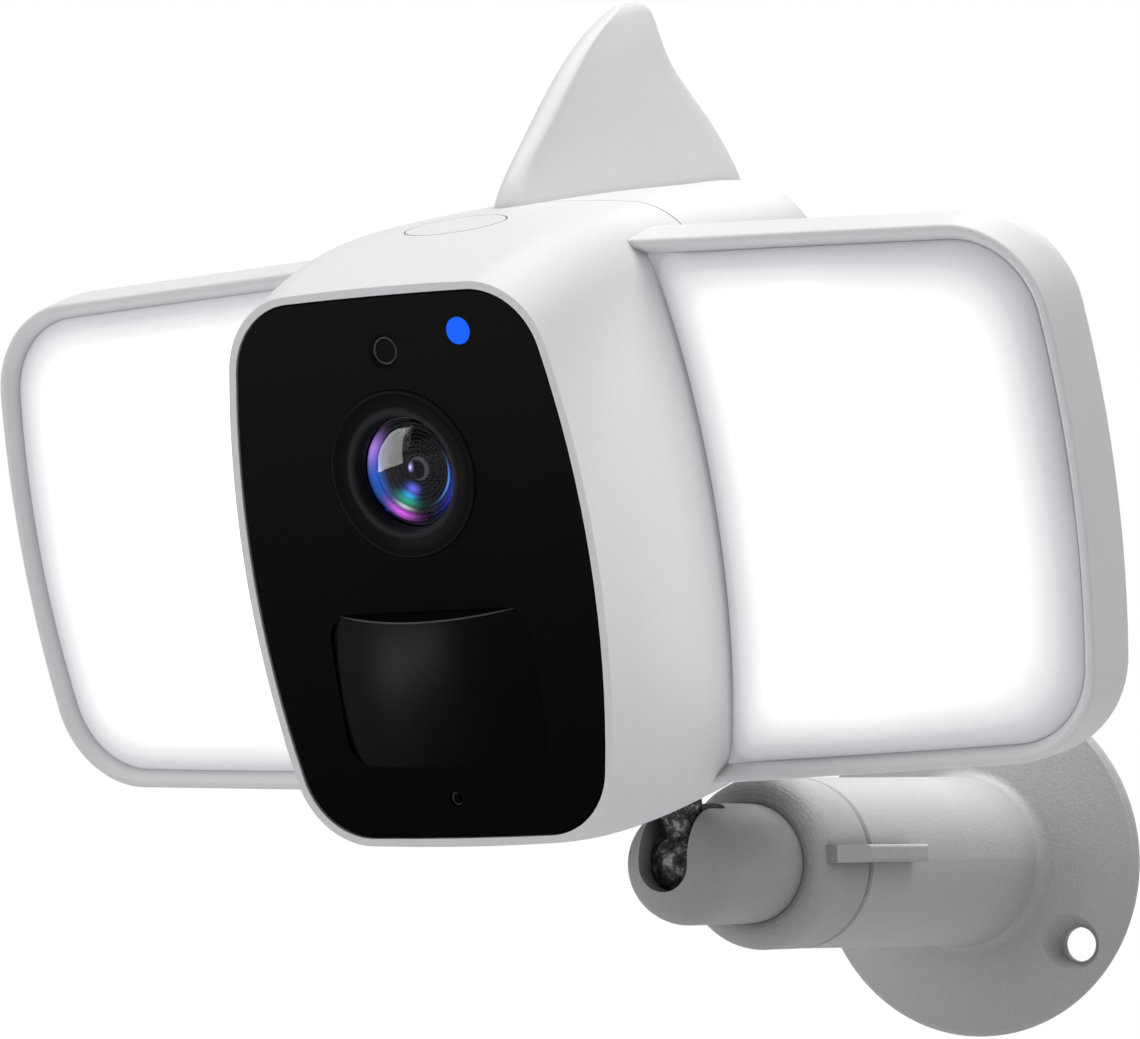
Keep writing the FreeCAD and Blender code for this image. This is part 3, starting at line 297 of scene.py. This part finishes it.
# ------------------------------------------------------------------ materials
MATERIALS = {
    # painted shade darkens the white shell in its seams, creases and inner corners
    "white_shell": crease_shaded(grained("white_shell_plastic", (0.80, 0.80, 0.815), 0.46, 1900.0, 0.000034, 0.015,
                                   Specular_IOR_Level=0.4), 0.6, 0.0016),
    "white_rubber": grained("white_rubber_plug", (0.74, 0.74, 0.755), 0.62, 2600.0, 0.000016, 0.01),
    "black_panel": panel_material("black_panel_gloss"),
    "black_plastic": grained("black_plastic_satin", (0.0040, 0.0040, 0.0044), 0.26, 2400.0, 0.000004, 0.1,
                             Specular_IOR_Level=0.06),
    # painted shade darkens the bracket paint in its creases and inner corners
    "bracket_paint": crease_shaded(grained("bracket_powder_paint", (0.465, 0.465, 0.46), 0.46, 1500.0, 0.00016,
                                     0.07, Specular_IOR_Level=0.5), 0.4),
    "black_rubber": grained("black_rubber", (0.018, 0.018, 0.018), 0.8, 900.0, 0.00004, 0.12),
    "foam": grained("foam_tape", (0.03, 0.03, 0.03), 0.95, 1400.0, 0.0002, 0.3),
    "components": grained("moulded_packages", (0.03, 0.03, 0.034), 0.5, 1200.0, 0.00003, 0.2),
    "cells": grained("cell_sleeve", (0.02, 0.09, 0.30), 0.3, 300.0, 0.00001, 0.1),
    "cradle": grained("cradle_plastic", (0.05, 0.05, 0.055), 0.55, 1000.0, 0.00003, 0.08),
    "speaker": grained("speaker_cone", (0.012, 0.012, 0.013), 0.85, 700.0, 0.0001, 0.3),
    "nylon": grained("natural_nylon", (0.60, 0.58, 0.52), 0.45, 800.0, 0.00002, 0.05),
    "led_chips": grained("phosphor", (0.85, 0.70, 0.22), 0.5, 2500.0, 0.00002, 0.08),
    "steel": turned_metal("plated_steel", (0.62, 0.62, 0.63), 0.32, 1400.0),
    "dark_steel": mottled_metal("oiled_dark_steel"),
    "brass": turned_metal("turned_brass", (0.72, 0.50, 0.20), 0.3, 1500.0),
    "circuit_board": board("circuit_board_green", (0.015, 0.11, 0.045), (0.04, 0.22, 0.09)),
    "led_board": board("lamp_board_white", (0.80, 0.80, 0.79), (0.70, 0.70, 0.70)),
}


def lit_material(name, colour, glow, strength):
    """A lit plastic: its own glow, a touch stronger in places, under a satin skin."""
    m, tree, shader = new_material(name, Roughness=0.3, Emission_Strength=strength,
                                   Specular_IOR_Level=0.05)
    cloud = noise(tree, 260.0, 2.0)
    for socket, full, dim in (("Emission Color", glow, 0.94), ("Base Color", colour, 0.9)):
        less = tuple(c * dim for c in full)
        tree.links.new(ramp(tree, cloud, [(0.3, less), (0.7, full)]), shader.inputs[socket])
    return m


MATERIALS["status_blue"] = lit_material("status_light_blue", (0.002, 0.02, 0.25), (0.010, 0.13, 1.0), 0.92)


def diffuser_material():
    """Opal cover, lit from behind: full white inside, and lavender grey where it meets its frame, which is painted
    shade.

    Its point attribute "edge" runs from 0 at the frame to 1 where the glow is full.
    """
    m, tree, shader = new_material("opal_diffuser", Roughness=0.55, Emission_Strength=1.25,
                                   Specular_IOR_Level=0.2)
    edge = add(tree, "ShaderNodeAttribute", attribute_name="edge").outputs["Fac"]
    cloud = noise(tree, 55.0, 2.0)
    wavy = maths(tree, "ADD", edge, maths(tree, "MULTIPLY", maths(tree, "SUBTRACT", cloud, 0.5), 0.05))
    glow = ramp(tree, wavy, [(0.0, (0.07, 0.07, 0.078)), (0.5, (0.22, 0.22, 0.23)),
                             (0.8, (0.39, 0.39, 0.395)), (0.93, grey(0.54)), (1.0, grey(1.0))])
    tree.links.new(glow, shader.inputs["Emission Color"])
    body = ramp(tree, wavy, [(0.0, (0.58, 0.58, 0.605)), (0.5, (0.62, 0.62, 0.635)), (1.0, grey(0.70))])
    tree.links.new(body, shader.inputs["Base Color"])
    bump(tree, shader, noise(tree, 3000.0, 2.0), 0.5, 0.000008)
    return m


MATERIALS["opal_diffuser"] = diffuser_material()
# the bracket's two turning castings, each painted a little darker than the tube as painted shade, with deeper
# painted shade in their creases
JOINT_SHADED_PAINTS = {
    "clamp_collar": crease_shaded(grained("bracket_collar_shaded_paint", (0.42, 0.42, 0.415), 0.48, 1500.0, 0.00016, 0.07,
                                    Specular_IOR_Level=0.4), 0.16, 0.020),
    "socket_knuckle": crease_shaded(grained("bracket_knuckle_shaded_paint", (0.37, 0.37, 0.37), 0.48, 1500.0, 0.00012,
                                      0.07, Specular_IOR_Level=0.4), 0.28, 0.010),
}


def glass_material():
    """Clear front element with a trace of lavender in its coating."""
    m, tree, shader = new_material("lens_front_glass", Roughness=0.012, IOR=1.22,
                                   Transmission_Weight=1.0)
    tint = ramp(tree, noise(tree, 150.0, 1.0), [(0.3, (0.93, 0.92, 1.0)), (0.7, grey(1.0))])
    tree.links.new(tint, shader.inputs["Base Color"])
    return m


MATERIALS["lens_glass"] = glass_material()


def length(tree, x, z):
    square = maths(tree, "ADD", maths(tree, "MULTIPLY", x, x), maths(tree, "MULTIPLY", z, z))
    return maths(tree, "SQRT", square)


def radial(tree):
    """Distance from the lens axis and the offsets across and up from it, in millimetres."""
    split = add(tree, "ShaderNodeSeparateXYZ")
    tree.links.new(place(tree), split.inputs[0])
    x = maths(tree, "MULTIPLY", split.outputs["X"], 1000.0)
    z = maths(tree, "SUBTRACT", maths(tree, "MULTIPLY", split.outputs["Z"], 1000.0), LENS_Z)
    return length(tree, x, z), x, z


def tinted(tree, amount, colour):
    """The colour in proportion to an amount."""
    n = add(tree, "ShaderNodeMix", data_type="RGBA", blend_type="MIX")
    tree.links.new(amount, n.inputs[0])
    n.inputs[6].default_value = (0, 0, 0, 1)
    n.inputs[7].default_value = (*colour, 1)
    return n.outputs[2]


def summed(tree, colours):
    """The colours added together."""
    whole = colours[0]
    for colour in colours[1:]:
        n = add(tree, "ShaderNodeMix", data_type="RGBA", blend_type="ADD")
        n.inputs[0].default_value = 1.0
        tree.links.new(whole, n.inputs[6])
        tree.links.new(colour, n.inputs[7])
        whole = n.outputs[2]
    return whole


def towards(tree, r, x, z, degrees, power):
    """1 in one direction from the lens axis, falling off round it."""
    a = math.radians(degrees)
    along = maths(tree, "ADD", maths(tree, "MULTIPLY", x, math.cos(a)),
                  maths(tree, "MULTIPLY", z, math.sin(a)))
    share = maths(tree, "DIVIDE", maths(tree, "MAXIMUM", along, 0.0), maths(tree, "ADD", r, 0.001))
    return maths(tree, "POWER", share, power)


# painted reflections of the coloured coatings, glowing: inner and outer radius (mm), colour, direction (degrees),
# narrowness
PAINTED_COATING_REFLECTIONS = [
    (2.6, 5.0, (0.14, 0.16, 0.90), -118.0, 22.0),
    (4.4, 5.8, (0.03, 0.45, 0.90), -120.0, 30.0),
    (5.2, 6.9, (0.02, 0.45, 0.26), -120.0, 18.0),
    (6.6, 7.5, (0.60, 0.75, 0.66), -120.0, 34.0),
    (7.2, 9.2, (0.75, 0.14, 0.85), -121.0, 18.0),
    (6.0, 10.4, (0.02, 0.12, 0.55), 187.0, 5.0),
    (7.0, 10.6, (0.42, 0.20, 0.66), 152.0, 18.0),
    (6.3, 6.9, (0.10, 0.34, 1.00), -24.0, 9.0),
    (6.6, 9.6, (0.02, 0.03, 0.42), -24.0, 8.0),
]


def lens_core_material():
    """The stack behind the front glass: black steps with faint rings, and painted reflections that glow on it:
    lighter ring lines and the coatings' coloured crescents.
    """
    m, tree, shader = new_material("lens_stack_painted_reflections", Roughness=0.6, Specular_IOR_Level=0.0,
                                   Emission_Strength=1.0)
    r, x, z = radial(tree)
    glows = []
    for inner, outer, colour, degrees, power in PAINTED_COATING_REFLECTIONS:
        away = maths(tree, "ABSOLUTE", maths(tree, "SUBTRACT", r, (inner + outer) / 2))
        away = maths(tree, "DIVIDE", away, (outer - inner) / 2)
        fall = maths(tree, "MAXIMUM", maths(tree, "SUBTRACT", 1.0, away), 0.0)
        amount = maths(tree, "MULTIPLY", fall, towards(tree, r, x, z, degrees, power))
        glows.append(tinted(tree, amount, colour))
    # the rings are faint in the base colour, and their lighter lines glow as painted highlight
    rings = maths(tree, "SINE", maths(tree, "MULTIPLY", r, 8.0))
    rings = spread(tree, rings, 0.0, 1.0, 0.6, 1.0)
    glows.append(tinted(tree, rings, (0.013, 0.013, 0.018)))
    tree.links.new(summed(tree, glows), shader.inputs["Emission Color"])
    tree.links.new(ramp(tree, rings, [(0.0, (0.0006, 0.0006, 0.001)), (1.0, (0.003, 0.003, 0.004))]),
                   shader.inputs["Base Color"])
    return m


def bezel_material():
    """Satin black ring, a little greyer along the crest of its dish and its outer edge, as painted highlights."""
    m, tree, shader = new_material("lens_bezel_satin", Specular_IOR_Level=0.05)
    r = radial(tree)[0]
    uneven = maths(tree, "MULTIPLY", maths(tree, "SUBTRACT", noise(tree, 220.0, 3.0), 0.5), 0.5)
    share = spread(tree, maths(tree, "ADD", r, uneven), 0.0, 1.0, GLASS_R, BEZEL_R)
    # painted highlights: greyer along the dish's crest and the outer edge
    stops = [(0.02, (0.010, 0.010, 0.011)), (0.24, (0.030, 0.030, 0.033)), (0.5, (0.006, 0.006, 0.0065)),
             (0.85, (0.0028, 0.0028, 0.003)), (0.97, (0.012, 0.012, 0.013))]
    tree.links.new(ramp(tree, share, stops, smooth=True), shader.inputs["Base Color"])
    grain = noise(tree, 2400.0, 2.0)
    tree.links.new(spread(tree, grain, 0.28, 0.36), shader.inputs["Roughness"])
    bump(tree, shader, grain, 0.5, 0.000006)
    return m


def pupil_material():
    """The small inner element: nearly black, with painted highlights that glow: a grey rim and a lavender spot up
    and to the left.
    """
    m, tree, shader = new_material("lens_pupil_painted_highlights", Roughness=0.3, Specular_IOR_Level=0.0,
                                   Emission_Strength=1.0)
    r, x, z = radial(tree)
    away = length(tree, maths(tree, "ADD", x, 0.9), maths(tree, "SUBTRACT", z, 0.5))
    painted_highlight = spread(tree, away, 1.0, 0.0, 0.1, 1.1)
    off_rim = maths(tree, "ABSOLUTE", maths(tree, "SUBTRACT", r, 1.85))
    rim = spread(tree, off_rim, 1.0, 0.0, 0.0, 0.3)
    # painted highlights, glowing: the lavender spot, a whiter core in it, and the grey rim
    glows = [tinted(tree, maths(tree, "POWER", painted_highlight, 1.6), (0.55, 0.42, 0.95)),
             tinted(tree, maths(tree, "POWER", painted_highlight, 6.0), grey(0.6)),
             tinted(tree, rim, (0.07, 0.07, 0.095))]
    tree.links.new(summed(tree, glows), shader.inputs["Emission Color"])
    stops = [(0.3, (0.001, 0.001, 0.002)), (0.7, (0.002, 0.002, 0.004))]
    tree.links.new(ramp(tree, noise(tree, 400.0, 1.0), stops), shader.inputs["Base Color"])
    return m


LENS_CORE = lens_core_material()
PUPIL = pupil_material()
BEZEL = bezel_material()
# grey, lighter than the black plastic round it, so that edges show as painted highlights: the motion window's
# crest and the rims of the small holes
EDGE_HIGHLIGHT_GREY = grained("edge_highlight_grey", (0.06, 0.06, 0.062), 0.35, 1500.0, 0.00001, 0.15,
                    Specular_IOR_Level=0.4)


# ------------------------------------------------------------------ mesh helpers
def make(name, points, faces, material):
    """A new smooth piece from points in millimetres in the head's frame, riding on the head."""
    mesh = bpy.data.meshes.new(name)
    mesh.from_pydata([tuple(c * MM for c in p) for p in points], [], faces)
    mesh.validate()
    mesh.polygons.foreach_set("use_smooth", [True] * len(mesh.polygons))
    mesh.materials.append(material)
    obj = bpy.data.objects.new(name, mesh)
    bpy.context.scene.collection.objects.link(obj)
    obj.matrix_world = HEAD
    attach(obj, "head")
    return obj


def revolve(name, profile, material, z=LENS_Z, steps=128):
    """Revolve a closed loop of (radius, y) points round a line along y. A zero radius is one point."""
    points, rings = [], []
    for r, y in profile:
        if r < 1e-6:
            rings.append([len(points)] * steps)
            points.append((0.0, y, z))
            continue
        rings.append(list(range(len(points), len(points) + steps)))
        for i in range(steps):
            a = 2 * math.pi * i / steps
            points.append((r * math.cos(a), y, z + r * math.sin(a)))
    faces = []
    for low, high in zip(rings, rings[1:] + rings[:1]):
        for i in range(steps):
            j = (i + 1) % steps
            ring = [low[i], low[j], high[j], high[i]]
            face = [v for k, v in enumerate(ring) if v != ring[k - 1]]
            if len(face) > 2:
                faces.append(face)
    return make(name, points, faces, material)


def arc_points(centre, radius, start, end, steps):
    """Points along an arc, with its start and end in degrees."""
    out = []
    for i in range(steps + 1):
        a = math.radians(start + (end - start) * i / steps)
        out.append((centre[0] + radius * math.cos(a), centre[1] + radius * math.sin(a)))
    return out


# ------------------------------------------------------------------ CAD nodes keep their shape
for entry in frame["record"]["subparts"]:
    node = NODES[entry["node"]]
    # the collar and knuckle take the darker copies of the bracket paint, which carry their painted shade
    slot = JOINT_SHADED_PAINTS.get(entry["node"], MATERIALS[entry["material_slot"]])
    for holder in node.material_slots:
        holder.material = slot


# ------------------------------------------------------------------ camera lens
def lens():
    """Bezel, coated stack, small inner element and front glass, which is returned."""
    ring = [(BEZEL_R - 0.05, 2.0), (BEZEL_R - 0.05, 0.05)]
    ring += arc_points((BEZEL_R - 0.5, 0.05), 0.45, 0, -90, 8)
    ring += [(13.6, -0.36), (12.9, -0.2), (12.3, 0.02), (11.9, 0.1)]
    ring += arc_points((11.0, 0.75), 0.85, -40, -170, 18)
    ring += [(9.98, 1.1), (9.8, 1.5), (GLASS_R + 0.12, 1.62), (GLASS_R + 0.12, 3.0), (11.5, 3.0)]
    bezel = revolve("lens_bezel_ring", ring, BEZEL)
    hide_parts("lens_bezel")

    glass = arc_points((0.0, GLASS_BOW_R + 0.2), GLASS_BOW_R, -56, -90, 26)
    glass[-1] = (0.0, glass[-1][1])
    back = [(0.0, 1.6)] + [(GLASS_R * t, 1.6 + 2.0 * t * t) for t in (0.2, 0.4, 0.6, 0.8, 0.94)]
    front = revolve("lens_front_glass", glass + back, MATERIALS["lens_glass"])
    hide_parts("lens_glass")

    stack = [(GLASS_R + 0.1, 3.65), (9.3, 3.7), (8.9, 3.8), (8.6, 3.8), (8.5, 4.0), (7.7, 4.1), (7.4, 4.1),
             (7.3, 4.3), (6.6, 4.4), (6.3, 4.4), (6.2, 4.6), (5.4, 4.7), (5.1, 4.7), (5.0, 4.9),
             (4.2, 5.0), (3.9, 5.0), (3.8, 5.2), (3.0, 5.3), (2.3, 5.3), (2.3, STACK_BACK),
             (GLASS_R + 0.1, STACK_BACK)]
    core = revolve("lens_stack", stack, LENS_CORE)
    bulb = arc_points((0.0, 5.9), PUPIL_R, -10, -90, 16)
    bulb[-1] = (0.0, bulb[-1][1])
    bulb += [(0.0, STACK_BACK), (PUPIL_R - 0.04, STACK_BACK)]
    pupil = revolve("lens_inner_element", bulb, PUPIL)
    return front


# ------------------------------------------------------------------ lamp diffusers
def cut_segments(mesh, y):
    """Where the head-frame plane at y (mm) crosses a CAD mesh, as pairs of rounded (x, z) points."""
    to_head = HEAD.inverted()
    co = np.array([tuple((to_head @ v.co) / MM) for v in mesh.vertices])
    mesh.calc_loop_triangles()
    segments = []
    for triangle in mesh.loop_triangles:
        p = co[list(triangle.vertices)]
        d = p[:, 1] - y
        hits = []
        for i in range(3):
            a, b = d[i], d[(i + 1) % 3]
            if (a < 0) != (b < 0):
                q = p[i] + (p[(i + 1) % 3] - p[i]) * (a / (a - b))
                hits.append((round(q[0], 3), round(q[2], 3)))
        if len(hits) == 2 and hits[0] != hits[1]:
            segments.append(hits)
    return segments


def enclosed(loop):
    """Area inside a loop of points."""
    ahead = np.roll(loop, -1, 0)
    return abs(float((loop[:, 0] * ahead[:, 1] - ahead[:, 0] * loop[:, 1]).sum())) / 2


def section_outline(node, y):
    """Largest loop of a CAD node cut by the head-frame plane at y (mm), as (x, z) points in mm."""
    links = {}
    for a, b in cut_segments(NODES[node].data, y):
        links.setdefault(a, []).append(b)
        links.setdefault(b, []).append(a)
    loops, seen = [], set()
    for start in links:
        if start in seen:
            continue
        loop = [start]
        seen.add(start)
        while True:
            ahead = [q for q in links[loop[-1]] if q not in seen]
            if not ahead:
                break
            seen.add(ahead[0])
            loop.append(ahead[0])
        loops.append(np.array(loop))
    return max(loops, key=enclosed)


def resample(loop, count):
    """The same loop as evenly spaced points."""
    closed = np.vstack([loop, loop[:1]])
    lengths = np.r_[0, np.cumsum(np.linalg.norm(np.diff(closed, axis=0), axis=1))]
    at = np.linspace(0, lengths[-1], count, endpoint=False)
    return np.stack([np.interp(at, lengths, closed[:, i]) for i in range(2)], 1)


def rounded(loop, reach, limit, passes):
    """Round a loop's sharp corners only: a point moves while it stands out by more than limit mm."""
    out = loop.copy()
    for _ in range(passes):
        mean = (np.roll(out, reach, 0) + np.roll(out, -reach, 0)) / 2
        push = np.linalg.norm(mean - out, axis=1)
        weight = np.clip((push - limit) / limit, 0, 1)[:, None]
        out = out + (mean - out) * 0.5 * weight
    return out


def grown(loop, by):
    """Move a loop's points outwards, each along its own normal."""
    along = np.roll(loop, -1, 0) - np.roll(loop, 1, 0)
    normal = np.stack([along[:, 1], -along[:, 0]], 1) / np.linalg.norm(along, axis=1)[:, None]
    sign = 1.0 if ((loop - loop.mean(0)) * normal).sum() > 0 else -1.0
    return loop + normal * by * sign


def distance_to(outline, p):
    """Shortest distance from a point to a loop."""
    segments = np.roll(outline, -1, 0) - outline
    t = np.clip(((p - outline) * segments).sum(1) / (segments ** 2).sum(1), 0, 1)
    return float(np.sqrt((((outline + segments * t[:, None]) - p) ** 2).sum(1).min()))


def diffuser(side):
    """Opal cover: pillow with a rolled edge, and a thin brim that fills the housing's corners."""
    name = "lamp_diffuser_" + side
    full = grown(resample(section_outline(name, COVER_Y + 1.4), OUTLINE_POINTS), 0.1)
    outline = rounded(full, 4, 0.2, 500)
    middle = full.mean(0)
    far = np.abs(full[:, 0]).max()
    near = np.abs(full[:, 0]).min()
    top_shade, bottom_shade, body_shade = EDGE_SHADE[side]
    shade = np.where(full[:, 1] > 0, top_shade, bottom_shade)
    shade = np.where(np.abs(full[:, 0]) < near + BODY_BAND, body_shade, shade)
    step = np.linalg.norm(np.roll(full, -1, 0) - full, axis=1)

    def glow_at(p):
        """0 where the cover is shaded by its frame, 1 where the glow is full."""
        outward = min(max((abs(p[0]) / far - 0.6) / 0.3, 0.0), 1.0) if side == "right" else 0.0
        k = GLOW_K * (1 + FAR_SPREAD * outward)
        reach = np.exp(-np.linalg.norm(full - p, axis=1) / k)
        return min(max(1 - float((reach * shade * step).sum()) / (2 * k), 0.0), 1.0)

    # rings of points from the edge (share 1) to the middle, closest together at the edge
    shares = list(1 - np.linspace(0, 1, 16) ** 1.7 * 0.2) + list(np.linspace(0.78, 0.06, 24))
    points, glows = [], []
    for share in shares:
        for p in middle + (outline - middle) * share:
            inside = min(distance_to(outline, p), ROLL_R)
            crown = ((p[0] - middle[0]) ** 2 + (p[1] - middle[1]) ** 2) / (2 * COVER_CROWN_R)
            roll = ROLL_R - math.sqrt(max(ROLL_R ** 2 - (ROLL_R - inside) ** 2, 0.0))
            points.append((p[0], COVER_Y - COVER_FRONT + crown + roll * ROLL_DROP, p[1]))
            glows.append(glow_at(p))
    n = len(outline)
    brim = len(points)
    points += [(p[0], COVER_Y - 0.1, p[1]) for p in full]
    points += [(p[0], COVER_Y + COVER_BACK, p[1]) for p in full]
    glows += [glow_at(p) for p in full] * 2
    centre = len(points)
    points.append((middle[0], COVER_Y - COVER_FRONT, middle[1]))
    glows.append(1.0)
    faces = []
    for i in range(n):
        j = (i + 1) % n
        faces.append([i, j, brim + j, brim + i])
        faces.append([brim + i, brim + j, brim + n + j, brim + n + i])
    for k in range(len(shares) - 1):
        for i in range(n):
            j = (i + 1) % n
            faces.append([k * n + j, k * n + i, (k + 1) * n + i, (k + 1) * n + j])
    last = (len(shares) - 1) * n
    faces += [[last + (i + 1) % n, last + i, centre] for i in range(n)]
    faces.append([brim + n + i for i in range(n)])
    if side == "left":
        faces = [f[::-1] for f in faces]
    piece = make("opal_cover_" + side, points, faces, MATERIALS["opal_diffuser"])
    attribute = piece.data.attributes.new("edge", "FLOAT", "POINT")
    attribute.data.foreach_set("value", np.array(glows, np.float32))
    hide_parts(name)


def hole_rim(name, z, radius, width):
    """Moulded rim inside one of the panel's small holes, in a lighter grey that paints its highlight."""
    half = width / 2
    profile = [(radius, 1.5), (radius, 0.95)]
    profile += arc_points((radius - half, 0.9), half, 0, -180, 8)
    profile += [(radius - width, 1.5)]
    revolve(name, profile, EDGE_HIGHLIGHT_GREY, z=z, steps=72)


def crest_point(x):
    """Where the motion window's bowed face meets its top slope, found by closing in on it."""
    top = PIR_Z + PIR_HALF_H
    z = top
    for _ in range(12):
        big = PIR_BOW_Z - PIR_BOW_X + math.sqrt(PIR_BOW_X ** 2 - x * x)
        y = PIR_FRONT + PIR_BOW_Z - math.sqrt(big ** 2 - (z - PIR_Z) ** 2)
        z = top - PIR_SLOPE_DROP * (PIR_SLOPE_Y - y) / (PIR_SLOPE_Y - PIR_FRONT + 1)
    return x, y, z


def motion_window_crest():
    """Painted highlight: a fine rounded grey edge along the crest of the motion window, tapering to its ends."""
    points, faces = [], []
    for i in range(CREST_STEPS + 1):
        x, y, z = crest_point(-CREST_HALF_W + 2 * CREST_HALF_W * i / CREST_STEPS)
        r = CREST_R * min(1.0, 0.15 + 0.12 * min(i, CREST_STEPS - i))
        for k in range(CREST_SIDES):
            a = 2 * math.pi * k / CREST_SIDES
            points.append((x, y + r * math.cos(a) + 0.02, z + r * math.sin(a)))
    for i in range(CREST_STEPS):
        for k in range(CREST_SIDES):
            a = i * CREST_SIDES + k
            b = i * CREST_SIDES + (k + 1) % CREST_SIDES
            faces.append([a, b, b + CREST_SIDES, a + CREST_SIDES])
    faces.append(list(range(CREST_SIDES)))
    faces.append([len(points) - 1 - k for k in range(CREST_SIDES)])
    crest = make("motion_window_crest", points, faces, EDGE_HIGHLIGHT_GREY)


front_glass = lens()
motion_window_crest()
hole_rim("light_sensor_rim", SENSOR_Z, SENSOR_R - 0.06, 0.36)
hole_rim("microphone_rim", MIC_Z, MIC_R - 0.05, 0.26)
for side in ("right", "left"):
    diffuser(side)


# ------------------------------------------------------------------ studio
def area_light(name, at, target, width, height, watts):
    """A softbox aimed at a target, itself out of the camera's sight."""
    data = bpy.data.lights.new(name, "AREA")
    data.shape = "RECTANGLE"
    data.size, data.size_y = width, height
    data.energy = watts
    obj = bpy.data.objects.new(name, data)
    bpy.context.scene.collection.objects.link(obj)
    obj.location = at
    obj.rotation_mode = "QUATERNION"
    obj.rotation_quaternion = (Vector(target) - Vector(at)).to_track_quat("-Z", "Y")
    obj.visible_camera = False
    obj.visible_transmission = False  # keeps stray light out of the glass
    return obj


def light_only(lamp, objects):
    """Link a lamp to the pieces it may light."""
    lamp.light_linking.receiver_collection = bpy.data.collections.new(lamp.name + "_on")
    for obj in objects:
        lamp.light_linking.receiver_collection.objects.link(obj)


def backdrop():
    """White where the camera sees it, and a weak even light everywhere else."""
    world = bpy.data.worlds.new("studio")
    bpy.context.scene.world = world
    world.use_nodes = True
    tree = world.node_tree
    tree.nodes.clear()
    out = add(tree, "ShaderNodeOutputWorld")
    path = add(tree, "ShaderNodeLightPath")
    seen = add(tree, "ShaderNodeBackground", Color=(1.0, 1.0, 1.0, 1.0), Strength=1.0)
    soft = add(tree, "ShaderNodeBackground", Color=(0.965, 0.965, 1.0, 1.0), Strength=0.15)
    mix = add(tree, "ShaderNodeMixShader")
    tree.links.new(path.outputs["Is Camera Ray"], mix.inputs[0])
    tree.links.new(soft.outputs[0], mix.inputs[1])
    tree.links.new(seen.outputs[0], mix.inputs[2])
    tree.links.new(mix.outputs[0], out.inputs[0])


def lamps():
    """Softboxes round the object, and small lamps linked to one piece each for its glint."""
    aim = (0.0, -0.12, 0.06)
    area_light("overhead_softbox", (0.1, -0.15, 1.5), aim, 1.2, 1.2, 18.5)
    area_light("right_high_softbox", (0.8, -0.1, 1.15), aim, 0.6, 0.6, 3.4)
    area_light("back_softbox", (-0.1, 1.0, 1.0), aim, 0.8, 0.5, 4.0)
    area_light("left_front_fill", (-0.9, -1.1, 0.55), aim, 0.9, 0.9, 4.8)
    over_bracket = area_light("bracket_softbox", (0.06, 0.10, 0.60), (0.0, -0.05, 0.0), 0.35, 0.35, 2.0)
    light_only(over_bracket, [NODES[name] for name in ("wall_bracket", "clamp_collar", "socket_knuckle")])

    places = {"lens": HEAD @ (Vector((0.0, 0.0, LENS_Z)) * MM),
              "window": HEAD @ (Vector((-2.0, -3.5, -18.0)) * MM)}
    for name, at, way, size, watts, only in GLINTS:
        start = places[at]
        lamp = area_light(name, start + Vector(way).normalized() * GLINT_DISTANCE, start, *size, watts)
        light_only(lamp, [front_glass if only == "glass" else NODES[only]])


def studio_floor():
    """Pale disc below the object, fading into the white backdrop."""
    mesh = bpy.data.meshes.new("studio_floor")
    points = [(0, 0, 0)]
    for r in FLOOR_RINGS:
        for i in range(FLOOR_STEPS):
            a = 2 * math.pi * i / FLOOR_STEPS
            points.append((r * math.cos(a), r * math.sin(a), 0))
    faces = [[0, 1 + i, 1 + (i + 1) % FLOOR_STEPS] for i in range(FLOOR_STEPS)]
    for k in range(len(FLOOR_RINGS) - 1):
        inner = 1 + k * FLOOR_STEPS
        outer = inner + FLOOR_STEPS
        for i in range(FLOOR_STEPS):
            j = (i + 1) % FLOOR_STEPS
            faces.append([inner + i, outer + i, outer + j, inner + j])
    mesh.from_pydata(points, [], faces)
    floor = bpy.data.objects.new("studio_floor", mesh)
    bpy.context.scene.collection.objects.link(floor)
    floor.location = (0, 0, cad_low.z - FLOOR_DROP)
    m, tree, shader = new_material("pale_floor", Roughness=0.7, Specular_IOR_Level=0.2,
                                   Emission_Strength=1.0)
    from_middle = add(tree, "ShaderNodeVectorMath", operation="LENGTH")
    tree.links.new(place(tree), from_middle.inputs[0])
    far = spread(tree, from_middle.outputs["Value"], 0.0, 1.0, *FLOOR_FADE)
    floor_colour = ramp(tree, far, [(0.0, (0.62, 0.62, 0.63)), (1.0, grey(0.0))])
    tree.links.new(floor_colour, shader.inputs["Base Color"])
    tree.links.new(ramp(tree, far, [(0.0, grey(0.0)), (1.0, grey(1.0))]), shader.inputs["Emission Color"])
    mesh.materials.append(m)


def camera():
    """The photograph's viewpoint."""
    azimuth, elevation, roll = (math.radians(a) for a in (CAMERA_AZIMUTH, CAMERA_ELEVATION, CAMERA_ROLL))
    back = Vector((math.sin(azimuth) * math.cos(elevation), -math.cos(azimuth) * math.cos(elevation),
                   math.sin(elevation)))
    level = Vector((math.cos(azimuth), math.sin(azimuth), 0.0))
    over = back.cross(level)
    right = level * math.cos(roll) + over * math.sin(roll)
    up = back.cross(right)
    data = bpy.data.cameras.new("photo_camera")
    data.sensor_width = CAMERA_FILM
    data.lens = CAMERA_LENS
    data.clip_start, data.clip_end = 0.05, 60.0
    obj = bpy.data.objects.new("photo_camera", data)
    bpy.context.scene.collection.objects.link(obj)
    turn = Matrix((right, up, back)).transposed().to_4x4()
    obj.matrix_world = Matrix.Translation(CAMERA_AT) @ turn
    bpy.context.scene.camera = obj


backdrop()
lamps()
studio_floor()
camera()
bpy.context.scene.view_settings.view_transform = "Standard"
